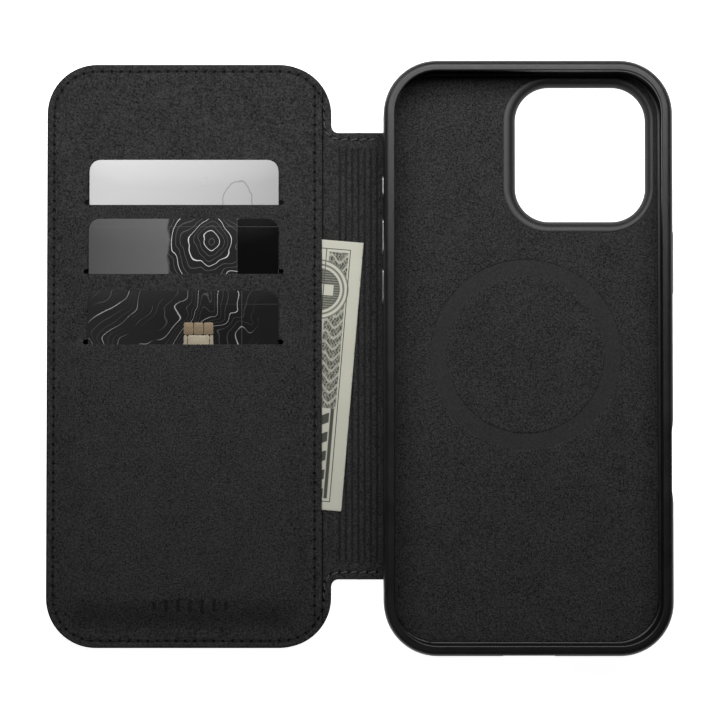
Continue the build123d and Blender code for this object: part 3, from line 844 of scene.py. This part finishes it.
# Painted shade: the pockets' inner sheets get a far darker nap than the lining, so needle holes and pocket
# insides show black.
POCKET_PAINTED_SHADE = microfibre("microfibre_inside_painted_shade", value=0.004)
LEATHER = leather("leather")
THREAD = thread("thread")
TPU = moulded("bumper_tpu", 0.005, 0.38, shine=0.36)
BEZEL = funnel_skin("bezel_tpu")
SHELL = moulded("shell_plastic", 0.015, 0.5)
METAL = blasted_metal("key_metal", 0.3)
# Painted shade: the side button gets the key metal made ten times darker.
KEY_METAL_PAINTED_SHADE = blasted_metal("key_dark", 0.03)
RING = ring_skin("ring_film")
BOARD = fibre_board("fibre_board")
NICKEL = nickel("nickel")
PAPER = note_paper("note_paper")
CHIP_ROW = 3.6
GOLD = gold("chip_gold")


# ---------------------------------------------------------------- seams
def cover_outline(right_end, spare):
    """Corners round the cover and out along the spine to right_end, set in by spare."""
    half = COVER_HALF - spare
    left = COVER_LEFT + spare
    right = COVER_RIGHT - spare
    spine = SPINE_HALF - spare
    big = COVER_CORNER - spare
    small = NOTCH_RADIUS + spare
    return [
        (right_end, COVER_Y + spine, 0),
        (right, COVER_Y + spine, small),
        (right, COVER_Y + half, big),
        (left, COVER_Y + half, big),
        (left, COVER_Y - half, big),
        (right, COVER_Y - half, big),
        (right, COVER_Y - spine, small),
        (right_end, COVER_Y - spine, 0),
    ]


def points_every(path, pitch):
    """Points spaced evenly along a path, as near to pitch as fits."""
    lengths = np.linalg.norm(np.diff(path, axis=0), axis=1)
    run = np.concatenate([[0], np.cumsum(lengths)])
    count = round(run[-1] / pitch)
    at = np.linspace(0, run[-1], count + 1)
    return np.stack([np.interp(at, run, path[:, 0]), np.interp(at, run, path[:, 1])], 1)


def along_path(path, spacing, offset):
    """Points along a path at a spacing, moved sideways by offset."""
    dense = points_every(path, spacing)
    heading = np.gradient(dense, axis=0)
    side = np.stack([-heading[:, 1], heading[:, 0]], 1)
    return dense + offset * side / np.linalg.norm(side, axis=1)[:, None]


seam_path = filleted(cover_outline(SEAM_END, SEAM_INSET), 0.3, closed=False)
seam_holes = points_every(seam_path, STITCH_PITCH)
seam_arc = COVER_CORNER - SEAM_INSET
seam_arc_middle = (COVER_RIGHT - COVER_CORNER, COVER_HALF - COVER_CORNER)
edge_seam_half = seam_arc_middle[1] + math.sqrt(seam_arc**2 - (EDGE_SEAM_X - seam_arc_middle[0]) ** 2)
edge_path = np.array([(EDGE_SEAM_X, COVER_Y + edge_seam_half), (EDGE_SEAM_X, COVER_Y - edge_seam_half)])
edge_holes = points_every(edge_path, STITCH_PITCH)
dense_seam = points_every(seam_path, 0.15)
dense_edge = points_every(edge_path, 0.15)
SEAM_ROWS = [-0.95, -0.55, -0.28, 0.0, 0.28, 0.55, 0.95]
SEAM_CLEAR = 1.25
SINK_DEPTH, SINK_SPREAD = 0.14, 0.42
PIT_DEPTH, PIT_SPREAD = 0.12, 0.3
HOLE_RADIUS = 0.34


def seam_points(path, holes):
    """Closely spaced points on both sides of a seam, so that its groove has a shape."""
    points = np.vstack([along_path(path, 0.33, offset) for offset in SEAM_ROWS])
    return points[distances(holes, points) > HOLE_RADIUS + 0.12]


def needle_holes(places):
    """Small round holes at some places."""
    return [circle(place, HOLE_RADIUS, 0.22) for place in places]


def seam_sink(x, y, lines, holes):
    """Depth that a seam pulls a sheet down by: a groove, with a pit at each needle hole."""
    points = np.stack([x, y], 1)
    groove = SINK_DEPTH * np.exp(-((distances(lines, points) / SINK_SPREAD) ** 2))
    pits = PIT_DEPTH * np.exp(-((distances(holes, points) / PIT_SPREAD) ** 2))
    return groove + pits


def seam_shade(x, y, lines, holes):
    """Painted shade along a seam: black in the needle holes, dim between them."""
    points = np.stack([x, y], 1)
    between = 0.3 * np.exp(-((distances(lines, points) / 0.3) ** 2))
    return between + 1.1 * np.exp(-((distances(holes, points) / 0.42) ** 4))


def stitches(holes, height, lift, slant=0.0, upside=1):
    """Thread from each hole to the next, thin where it lies in the panel and full beside it."""
    parts = []
    for start, end in zip(holes, holes[1:]):
        is_open = (start[0] + end[0]) / 2 > PANEL_RIGHT
        thick = OPEN_THREAD if is_open and upside > 0 else SUNK_THREAD
        rise = lift * (1.4 if is_open else 1.0)
        heading = (end - start) / np.linalg.norm(end - start)
        side = np.array((-heading[1], heading[0]))
        t = np.linspace(0, 1, 9)
        flat = start + np.outer(0.1 + 0.8 * t, end - start)
        flat += np.outer(slant * (3 if is_open else 1) * (t - 0.5), side)
        arch = rise * np.sin(math.pi * t) ** 0.6 - 0.22
        surface = height(flat[:, 0], flat[:, 1])
        path = np.column_stack([flat, surface + upside * arch])
        radii = thick * (0.55 + 0.45 * np.sin(math.pi * t) ** 0.4)
        parts.append(tube(path, radii))
    return parts


# ---------------------------------------------------------------- card slots
SLIT_Y = (43.5, 23.7, 3.6)
SLIT_HEIGHT = 1.4
SLIT_HALF = 28.5
CARD_NODES = ("card_top", "card_middle", "card_lower")
cards = {name: box_mm(name) for name in CARD_NODES}
CARD_X = (cards["card_top"][0][0] + cards["card_top"][1][0]) / 2
CARD_LEFT = CARD_X - 27
LEVEL_RISE = cards["card_middle"][0][2] - cards["card_top"][0][2]
SHEET = 0.24
PANEL_EDGE = 0.1
FLAT_HALF = (cards["card_top"][1][0] - cards["card_top"][0][0]) / 2 + 0.35
SLOPE_END = PANEL_RIGHT - CARD_X - 2.6
CARD_FLOOR = cards["card_lower"][0][1] - 0.9
SLOPE_DEPTH = 10.5


def panel_level(x, y):
    """Height of the front sheet over the cards: one rise under each slit, sloping off at the sides."""
    out = abs(x - CARD_X)
    side = 1 - smooth_step((out - FLAT_HALF) / (SLOPE_END - FLAT_HALF))
    foot = smooth_step((y - (CARD_FLOOR - SLOPE_DEPTH)) / SLOPE_DEPTH)
    rises = np.zeros_like(x)
    for slit in SLIT_Y:
        width = SLIT_HEIGHT + 1.3 * np.clip(out - SLIT_HALF + 0.7, 0, None)
        rises += smooth_step((slit + (SLIT_HEIGHT + width) / 2 - y) / width)
    return PANEL_TOP + LEVEL_RISE * rises * side * foot


def panel_ripple(x, y):
    """Unevenness of the sheet, none at the cards and slits, where little room is left."""
    out = abs(x - CARD_X)
    free = np.maximum(smooth_step((out - 29) / 4), smooth_step((-6 - y) / 6))
    free = np.maximum(free, smooth_step((y - 59) / 5))
    return -0.07 * free * (0.5 + 0.5 * ripple(x, y, 6.0))


# A row of plain bars is pressed into the sheet at the lower right, as an ornament, and its hollows are
# painted dark as shade.
MARK_X, MARK_Y = (-59.5, -35.8), -70.5
MARK_BARS = 7
MARK_HEIGHT = 3.9
MARK_DEPTH = 0.11
MARK_SHADE = 5.0


def mark_sink(x, y):
    """Depth of the pressed ornament: upright bars, taller to the middle."""
    pitch = (MARK_X[1] - MARK_X[0]) / MARK_BARS
    number = np.floor((x - MARK_X[0]) / pitch)
    middle = MARK_X[0] + (number + 0.5) * pitch
    tall = MARK_HEIGHT * (0.55 + 0.45 * np.cos((number - (MARK_BARS - 1) / 2) * 0.42)) / 2
    in_x = smooth_step((pitch * 0.15 - abs(x - middle)) / 0.35 + 0.5)
    in_y = smooth_step((tall - abs(y - MARK_Y)) / 0.35 + 0.5)
    among = (number >= 0) & (number < MARK_BARS)
    return MARK_DEPTH * in_x * in_y * among


def clipped_right(loop, right):
    """The part of a counter-clockwise cover loop that lies left of right, closed there."""
    kept = loop[loop[:, 0] < right - 0.05]
    order = np.argsort(np.arctan2(kept[:, 1], kept[:, 0] - CARD_X) % (2 * math.pi))
    kept = kept[order]
    upper = kept[kept[:, 1] > 0][0]
    lower = kept[kept[:, 1] < 0][-1]
    steps = round((upper[1] - lower[1]) / 0.6)
    edge = [(right, lower[1] + (upper[1] - lower[1]) * i / steps) for i in range(steps + 1)]
    return np.vstack([kept, edge])


PANEL_SPARE = 0.4
full_cover = rounded_rectangle(
    (COVER_LEFT + PANEL_SPARE, COVER_Y - COVER_HALF + PANEL_SPARE),
    (COVER_RIGHT - PANEL_SPARE, COVER_Y + COVER_HALF - PANEL_SPARE),
    COVER_CORNER - PANEL_SPARE,
)
panel_outline = clipped_right(full_cover, PANEL_RIGHT)
slit_holes = [
    rounded_rectangle(
        (CARD_X - SLIT_HALF, slit), (CARD_X + SLIT_HALF, slit + SLIT_HEIGHT), SLIT_HEIGHT / 2 - 0.001, 0.25
    )
    for slit in SLIT_Y
]
panel_seams = np.vstack([dense_seam, dense_edge])
panel_needle_holes = np.vstack([seam_holes, edge_holes])
mark_points = grid((MARK_X[0] - 0.6, MARK_Y - 2.4), (MARK_X[1] + 0.6, MARK_Y + 2.4), 0.2)


def panel_top(x, y):
    lowered = seam_sink(x, y, panel_seams, panel_needle_holes) + mark_sink(x, y)
    return panel_level(x, y) + panel_ripple(x, y) - lowered


# Painted shade in the seam's needle holes and groove, and in the pressed bars.
def panel_shade(x, y):
    return seam_shade(x, y, panel_seams, panel_needle_holes) + MARK_SHADE * mark_sink(x, y)


def panel_bottom(x, y):
    return panel_level(x, y) - SHEET


def build_panel():
    """Front sheet of the card slots, with its three slits."""
    coarse = grid(panel_low, panel_high, 1.15)
    near = distances(np.vstack([panel_seams, mark_points]), coarse)
    inner = [coarse[near > SEAM_CLEAR], seam_points(seam_path, seam_holes), mark_points]
    inner.append(seam_points(edge_path, edge_holes))
    for slit in SLIT_Y:
        ends = [grid((x - 3.5, slit - 2.5), (x + 3.5, slit + 4), 0.4) for x in (CARD_X - 29, CARD_X + 29)]
        inner += ends
    pierced = panel_needle_holes[panel_needle_holes[:, 0] < PANEL_RIGHT - HOLE_RADIUS - 0.3]
    holes = slit_holes + needle_holes(pierced)
    piece = slab(
        "slot_panel", MICROFIBRE, panel_outline, panel_top, panel_bottom, PANEL_EDGE,
        holes=holes, inner=np.vstack(inner),
    )
    shade_points(piece, panel_shade)
    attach(piece, "cover")
    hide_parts("card_panel")
    area = cut_area(panel_outline, slit_holes)


# ---------------------------------------------------------------- linings
groove_xs = SPINE_CUT + (np.arange(GROOVE_COUNT) - (GROOVE_COUNT - 1) / 2) * GROOVE_PITCH


def ribs(x, y):
    """Depth of the seven pressed grooves along the spine."""
    away = np.min(abs(x[:, None] - groove_xs[None, :]), axis=1)
    across = 0.5 + 0.5 * np.cos(np.clip(away / GROOVE_WIDTH, 0, 1) * math.pi)
    ends = smooth_step((SPINE_HALF - GROOVE_END - abs(y - COVER_Y)) / 0.8)
    return GROOVE_DEPTH * across * ends


def lining_top(x, y):
    sink = seam_sink(x, y, dense_seam, seam_holes)
    covered = x < PANEL_RIGHT - 0.5
    soft = 0.03 * ripple(x, y, 4.0, 0.7)
    return LINING_TOP - np.where(covered, 0.02, sink + ribs(x, y) + 0.03 - soft)


def lining_shade(x, y):
    """Painted shade at the seam and in the grooves, and a painted shadow close beside the panel's edge."""
    seam = np.where(x > PANEL_RIGHT, seam_shade(x, y, dense_seam, seam_holes), 0)
    # Painted shadow of the panel's edge on the lining.
    beside = 0.8 * np.exp(-(((x - PANEL_RIGHT - 0.15) / 0.3) ** 2))
    return seam + beside + 0.62 * ribs(x, y) / GROOVE_DEPTH


def left_lining_bottom(x, y):
    away = np.minimum(COVER_HALF - abs(y - COVER_Y), x - COVER_LEFT)
    over_board = (x < board_high[0] + 0.4) & (away > board_low[0] - COVER_LEFT - 0.4)
    return np.where(over_board, board_high[2], LEATHER_TOP)


def spine_rows(low_x, high_x):
    """Fine points across the ribs, with wider steps along them."""
    xs = np.arange(low_x, high_x, 0.16)
    ys = COVER_Y + np.arange(-SPINE_HALF + 0.5, SPINE_HALF - 0.4, 1.3)
    gx, gy = np.meshgrid(xs, ys)
    gy = gy + 0.65 * (np.arange(len(xs)) % 2)[None, :]
    return np.stack([gx.ravel(), gy.ravel()], 1)


def build_left_lining():
    """Microfibre from the cash pocket out over the first fold, to the middle groove."""
    outline = filleted(cover_outline(SPINE_CUT, 0.15), 0.6)
    hidden = grid(cover_low, (PANEL_RIGHT - 2, cover_high[1]), 3.0)
    strip = np.vstack([spine_rows(PANEL_RIGHT - 2, SPINE_CUT), seam_points(seam_path, seam_holes)])
    strip = strip[(strip[:, 0] > PANEL_RIGHT - 2) & (strip[:, 0] < SPINE_CUT - 0.05)]
    beside = (seam_holes[:, 0] > PANEL_RIGHT - 1) & (seam_holes[:, 0] < SPINE_CUT - 0.5)
    piece = slab(
        "spine_lining_left", MICROFIBRE, outline, lining_top, left_lining_bottom, LINING_EDGE,
        holes=needle_holes(seam_holes[beside]), inner=np.vstack([hidden, strip]), square_x=SPINE_CUT,
    )
    shade_points(piece, lining_shade)
    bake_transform(piece)
    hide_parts("cash_pocket_lining", "spine_lining")
    cut_area(outline)


def build_right_lining():
    """Microfibre from the middle groove over the second fold, to under the bumper."""
    top, foot = tab_high[1] - 0.15, tab_low[1] + 0.15
    outline = filleted(
        [(tab_high[0], top, 0), (SPINE_CUT, top, 0), (SPINE_CUT, foot, 0), (tab_high[0], foot, 0)], 0.6
    )
    strip = np.vstack([spine_rows(SPINE_CUT, tab_high[0]), seam_points(seam_path, seam_holes)])
    strip = strip[(strip[:, 0] > SPINE_CUT + 0.05) & (strip[:, 0] < tab_high[0] - 0.2)]
    holes = needle_holes(seam_holes[seam_holes[:, 0] > SPINE_CUT + 0.5])
    piece = slab(
        "spine_lining_right", MICROFIBRE, outline, lining_top, level(LEATHER_TOP), LINING_EDGE,
        holes=holes, inner=strip, square_x=SPINE_CUT,
    )
    shade_points(piece, lining_shade)
    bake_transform(piece)
    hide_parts("spine_lining_tab")
    cut_area(outline)


RING_MIDDLE = (ring_low[:2] + ring_high[:2]) / 2
RING_OUTER = (ring_high[0] - ring_low[0]) / 2
RING_WIDTH = 4.75
RING_INNER = RING_OUTER - RING_WIDTH


def bezel_hole():
    """Hole in a sheet for the camera bezel, with a little room round it."""
    low, high = bezel_low[:2] - BEZEL_GAP, bezel_high[:2] + BEZEL_GAP
    return rounded_rectangle(low, high, BEZEL_CORNER + BEZEL_GAP)


def build_case_lining():
    """Microfibre in the bottom of the phone's bay, with a window for the magnet ring."""

    def top(x, y):
        return lining_high[2] + 0.02 * (ripple(x, y, 7.0, 1.9) - 1)

    bottom = level(lining_low[2])
    outline = rounded_rectangle(lining_low[:2], lining_high[:2], BAY_CORNER)
    window = circle(RING_MIDDLE, RING_OUTER)
    coarse = grid(lining_low, lining_high, 1.8)
    middle = circle(RING_MIDDLE, RING_INNER)
    field = slab_parts(outline, [bezel_hole(), window], coarse, top, bottom, LINING_EDGE)
    disc = slab_parts(middle, [], coarse, top, bottom, LINING_EDGE)
    piece = join_parts("case_lining_sheet", MICROFIBRE, [field[:2], disc[:2]])
    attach(piece, "case")
    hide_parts("case_lining")
    area = cut_area(outline, [bezel_hole(), window]) + cut_area(middle)


# ---------------------------------------------------------------- leather
COVER_EDGE = 0.38
BACK_EDGE = 0.3
LEATHER_WAVE = 0.03
DRAWN_IN = 0.6


def outer_face(x, y):
    """The leather's outer face, drawn in a little along the seam."""
    drawn_in = DRAWN_IN * seam_sink(x, y, dense_seam, seam_holes)
    return LEATHER_BOTTOM + LEATHER_WAVE * (1 + ripple(x, y, 9.0, 0.4)) + drawn_in


def build_cover_leather():
    outline = filleted(cover_outline(SPINE_CUT, 0.0), 0.5)
    coarse = grid(cover_low, (SPINE_CUT, cover_high[1]), 2.0)
    coarse = coarse[distances(dense_seam, coarse) > 1.3]
    fold = grid((COVER_FOLD - 2.5, cover_low[1]), (COVER_FOLD + 2.5, cover_high[1]), 0.6)
    coarse = coarse[abs(coarse[:, 0] - COVER_FOLD) > 2.6]
    inner = np.vstack([coarse, fold, seam_points(seam_path, seam_holes)])
    inner = inner[inner[:, 0] < SPINE_CUT - 0.3]
    piece = slab(
        "cover_leather_skin", LEATHER, outline, level(LEATHER_TOP), outer_face, COVER_EDGE,
        inner=inner, square_x=SPINE_CUT,
    )
    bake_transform(piece)
    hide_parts("cover_leather", "spine_leather")
    cut_area(outline)


def build_back_leather():
    low, high = box_mm("back_leather")
    body_left = box_mm("back_shell")[0][0]
    corners = [
        (high[0], high[1], BAY_CORNER),
        (body_left, high[1], BAY_CORNER),
        (body_left, tab_high[1], 0),
        (SPINE_CUT, tab_high[1], 0),
        (SPINE_CUT, tab_low[1], 0),
        (body_left, tab_low[1], 0),
        (body_left, low[1], BAY_CORNER),
        (high[0], low[1], BAY_CORNER),
    ]
    coarse = grid((SPINE_FOLD + 2.5, low[1]), high, 2.2)
    fold = grid((SPINE_CUT + 0.4, tab_low[1]), (SPINE_FOLD + 2.6, tab_high[1]), 0.7)
    outline = filleted(corners, 0.6)
    piece = slab(
        "back_leather_skin", LEATHER, outline, level(LEATHER_TOP), outer_face, BACK_EDGE,
        holes=[bezel_hole()], inner=np.vstack([coarse, fold]), square_x=SPINE_CUT,
    )
    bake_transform(piece)
    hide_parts("back_leather")
    cut_area(outline, [bezel_hole()])


# ---------------------------------------------------------------- camera bezel
OPENING_CENTRE = np.array((CASE_X + 15.9, 58.3))
OPENING_SIZE = np.array((37.3, 38.6))
OPENING_CORNER = 9.7
FUNNEL_START = 0.22
FUNNEL_FOOT = 0.5


def matched_outline(centre, size, corner):
    """Rounded rectangle with the same count of points whatever its size."""
    points = []
    for quarter, way in enumerate(((1, 1), (-1, 1), (-1, -1), (1, -1))):
        middle = centre + np.array(way) * (size / 2 - corner)
        for i in range(25):
            angle = math.pi / 2 * (quarter + i / 24)
            points.append(middle + corner * np.array((math.cos(angle), math.sin(angle))))
    return np.array(points)


def build_bezel():
    """Frame of the camera opening: a soft ridge round it, then a curve down like a funnel."""
    top = bezel_high[2]
    profile = [(0.0, top - 0.35), (0.03, top - 0.12), (0.08, top + 0.02), (0.15, top + 0.08)]
    for i in range(17):
        t = i / 16
        share = FUNNEL_START + (1 - FUNNEL_START) * t
        drop = (t**2 + 1 - math.sqrt(1 - t**2)) / 2
        profile.append((share, top + 0.06 - (top + 0.06 - FUNNEL_FOOT) * drop))
    profile += [(1.0, 0.3), (0.98, 0.1), (0.92, 0.0), (0.2, 0.0), (0.1, 0.06), (0.03, 0.2), (0.0, 0.45)]
    middle = (bezel_low[:2] + bezel_high[:2]) / 2
    outer = matched_outline(middle, bezel_high[:2] - bezel_low[:2], BEZEL_CORNER)
    inner = matched_outline(OPENING_CENTRE, OPENING_SIZE, OPENING_CORNER)
    rings = [np.column_stack([outer + (inner - outer) * s, np.full(len(outer), z)]) for s, z in profile]
    count = len(outer)
    faces = []
    for ring in range(len(rings)):
        low, high = ring * count, (ring + 1) % len(rings) * count
        faces += [(low + i, low + (i + 1) % count, high + (i + 1) % count, high + i) for i in range(count)]
    piece = make_mesh("camera_bezel_ring", np.vstack(rings), faces, BEZEL)
    # Painted shade: darker down the funnel towards the opening.
    funnel_shade = np.repeat([0.88 * smooth_step((share - 0.25) / 0.45) for share, _ in profile], count)
    keep_painted_shade(piece, funnel_shade)
    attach(piece, "case")
    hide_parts("camera_bezel")


# ---------------------------------------------------------------- thread
def seam_surface(x, y):
    """Height of the sheet that the cover's seam shows on: the panel, then the lining beside it."""
    on_panel = smooth_step((PANEL_RIGHT + 0.3 - x) / 0.8)
    return (LINING_TOP - 0.1) + (PANEL_TOP - LINING_TOP) * on_panel


def both_sides(run):
    """Stitches through a run of holes, on the inner side and on the outer one."""
    inner_side = stitches(run, seam_surface, INNER_LIFT, INNER_SLANT)
    outer_side = stitches(run, level(LEATHER_BOTTOM + 0.1), OUTER_LIFT, OUTER_SLANT, upside=-1)
    return inner_side + outer_side


def build_threads():
    on_cover = seam_holes[seam_holes[:, 0] < SPINE_CUT + 0.5]
    first_run = seam_holes[: len(seam_holes) // 2]
    start = int(np.argmax(first_run[:, 0] < SPINE_CUT + 0.5))
    stop = start + len(on_cover)
    cover_run = seam_holes[start:stop]
    seam = join_parts("cover_seam_thread", THREAD, both_sides(cover_run))
    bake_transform(seam)
    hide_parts("perimeter_stitching")

    edge_stitches = stitches(edge_holes, level(PANEL_TOP), EDGE_LIFT)
    edge = join_parts("panel_edge_thread", THREAD, edge_stitches)
    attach(edge, "cover")
    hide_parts("panel_edge_stitching")

    ends = both_sides(seam_holes[: start + 1]) + both_sides(seam_holes[stop - 1:])
    spine = join_parts("spine_end_thread", THREAD, ends)
    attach(spine, "spine")
    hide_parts("spine_stitching")


# ---------------------------------------------------------------- cards and note
CARD_CORNER = 3.18
# Each card's CAD node, its body, its material slot and its print
CARD_KINDS = (
    ("card_top", "top_card", "silver_card", silver_card),
    ("card_middle", "middle_card", "grey_card", grey_card),
    ("card_lower", "lower_card", "black_card", black_card),
)


def build_cards():
    for name, body, slot, face in CARD_KINDS:
        low, high = cards[name]
        outline = rounded_rectangle(low[:2], high[:2], CARD_CORNER, 1.0)
        print_name = name + "_print"
        faces = level(high[2]), level(low[2])
        piece = slab(print_name, face(print_name), outline, *faces, 0.1, inner=grid(low, high, 9.0))
        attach(piece, body)
        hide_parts(name)


def build_chip():
    """Contact plate: a row of three pads at its upper end, and a wide field between two strips below."""
    low, high = box_mm("card_chip")
    gap, strip, corner, plating = 0.14, 1.0, 0.45, 0.012
    third = (high[0] - low[0] - 2 * gap) / 3
    split_y = high[1] - CHIP_ROW
    areas = [
        ((low[0] + i * (third + gap), split_y + gap), (low[0] + i * (third + gap) + third, high[1]))
        for i in range(3)
    ]
    areas.append((low[:2], (low[0] + strip, split_y)))
    areas.append(((low[0] + strip + gap, low[1]), (high[0] - strip - gap, split_y)))
    areas.append(((high[0] - strip, low[1]), (high[0], split_y)))
    parts = []
    for a, b in areas:
        outline = rounded_rectangle(np.array(a), np.array(b), corner, 0.2)
        faces = level(high[2] + plating), level(low[2])
        parts.append(slab_parts(outline, [], np.zeros((0, 2)), *faces, 0.03)[:2])
    piece = join_parts("chip_contacts", GOLD, parts)
    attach(piece, "lower_card")
    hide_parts("card_chip")


def build_note():
    """Folded banknote: two layers of paper, the lower one a little further out."""
    low, high = box_mm("banknote")
    axis_u = np.array((-math.cos(NOTE_TILT), math.sin(NOTE_TILT)))
    axis_v = np.array((math.sin(NOTE_TILT), math.cos(NOTE_TILT)))

    def outline(out, down):
        """The layer's corners, its right edge moved out and its lower end down."""
        left, top, foot = NOTE_WIDTH - 1, NOTE_HEIGHT / 2, -NOTE_HEIGHT / 2 - down
        places = ((-out, top), (left, top), (left, foot), (-out, foot))
        return filleted([(*(NOTE_EDGE + axis_u * u + axis_v * v), 0.0) for u, v in places], 0.8)

    inner = grid((low[0], low[1]), (NOTE_EDGE[0] + 5, high[1]), 1.5)

    def wave(x, y):
        free = smooth_step((x - PANEL_RIGHT) / 4)
        return NOTE_WAVE * free * (1 + ripple(x, y, 5.0, 2.2))

    def face(height):
        return lambda x, y: low[2] + height + wave(x, y)

    layers = ((outline(0.0, 0.0), 0.2, 0.11), (outline(0.12, 0.1), 0.09, 0.0))
    parts = [slab_parts(loop, [], inner, face(top), face(foot), 0.035)[:2] for loop, top, foot in layers]
    piece = join_parts("banknote_paper", PAPER, parts)
    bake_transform(piece)
    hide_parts("banknote", "banknote_end")


# ---------------------------------------------------------------- CAD nodes that stay
KEPT_NODES = (
    (BOARD, "cover_board"),
    (POCKET_PAINTED_SHADE, "pocket_backing", "pocket_divider_upper", "pocket_divider_lower"),
    (SHELL, "back_shell"),
    (RING, "magnet_ring_cover"),
    (NICKEL, "ring_magnets", "alignment_magnet"),
    (TPU, "bumper"),
    (METAL, "action_button", "volume_up_button", "volume_down_button"),
    (KEY_METAL_PAINTED_SHADE, "side_button"),
)
SHARP_FROM = math.radians(32)


def paint_kept_nodes():
    for material, *names in KEPT_NODES:
        for name in names:
            mesh = frame["nodes"][name].data
            mesh.materials.clear()
            mesh.materials.append(material)
            mesh.shade_smooth()
            mesh.set_sharp_from_angle(angle=SHARP_FROM)


def declare_pocket_sheets():
    """Lists the pockets' inner sheets with the pieces under them and one area, and does nothing with them.
    """
    for name, under, area in (
        ("pocket_backing", "spine_lining_left", cut_area(panel_outline)),
        ("pocket_divider_upper", "card_top_print", None),
        ("pocket_divider_lower", "card_middle_print", None),
    ):
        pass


# ---------------------------------------------------------------- stage
CAMERA_DISTANCE = 0.5
CAMERA_TILT = math.radians(1.15)
VIEW_WIDTH = 0.20545
AIM = Vector((0.5 * MM, -0.75 * MM, 3.3 * MM))
SENSOR = 36.0


def build_camera():
    data = bpy.data.cameras.new("camera")
    data.sensor_width = SENSOR
    data.lens = SENSOR * CAMERA_DISTANCE / VIEW_WIDTH
    camera = bpy.data.objects.new("camera", data)
    bpy.context.scene.collection.objects.link(camera)
    camera.location = AIM + CAMERA_DISTANCE * Vector((0, -math.sin(CAMERA_TILT), math.cos(CAMERA_TILT)))
    camera.rotation_euler = (CAMERA_TILT, 0, 0)
    bpy.context.scene.camera = camera


def area_light(name, place, target, size, power):
    data = bpy.data.lights.new(name, "AREA")
    data.shape = "RECTANGLE"
    data.size, data.size_y = size
    data.energy = power
    light = bpy.data.objects.new(name, data)
    light.location = place
    light.rotation_euler = (Vector(target) - Vector(place)).to_track_quat("-Z", "Y").to_euler()
    bpy.context.scene.collection.objects.link(light)


FLOOR_HALF = 3.0
WORLD_LIGHT = 0.025


def build_stage():
    half = FLOOR_HALF
    corners = [(-half, -half, 0), (half, -half, 0), (half, half, 0), (-half, half, 0)]
    floor = make_mesh("floor", np.array(corners) / MM, [(0, 1, 2, 3)], floor_surface("floor_white"))
    area_light("key_light", (0, 0.175, 0.24), (0, 0.055, 0), (0.46, 0.18), 1.65)
    area_light("fill_light", (-0.1, -0.3, 0.45), (0, 0, 0), (0.4, 0.2), 0.12)
    world = bpy.data.worlds.new("world")
    world.use_nodes = True
    background = world.node_tree.nodes["Background"]
    background.inputs["Color"].default_value = (1, 1, 1, 1)
    background.inputs["Strength"].default_value = WORLD_LIGHT
    bpy.context.scene.world = world
    bpy.context.scene.view_settings.view_transform = "Standard"


build_camera()
build_stage()
paint_kept_nodes()
build_panel()
build_left_lining()
build_right_lining()
build_case_lining()
build_bezel()
build_cover_leather()
build_back_leather()
build_threads()
build_cards()
build_chip()
build_note()
declare_pocket_sheets()
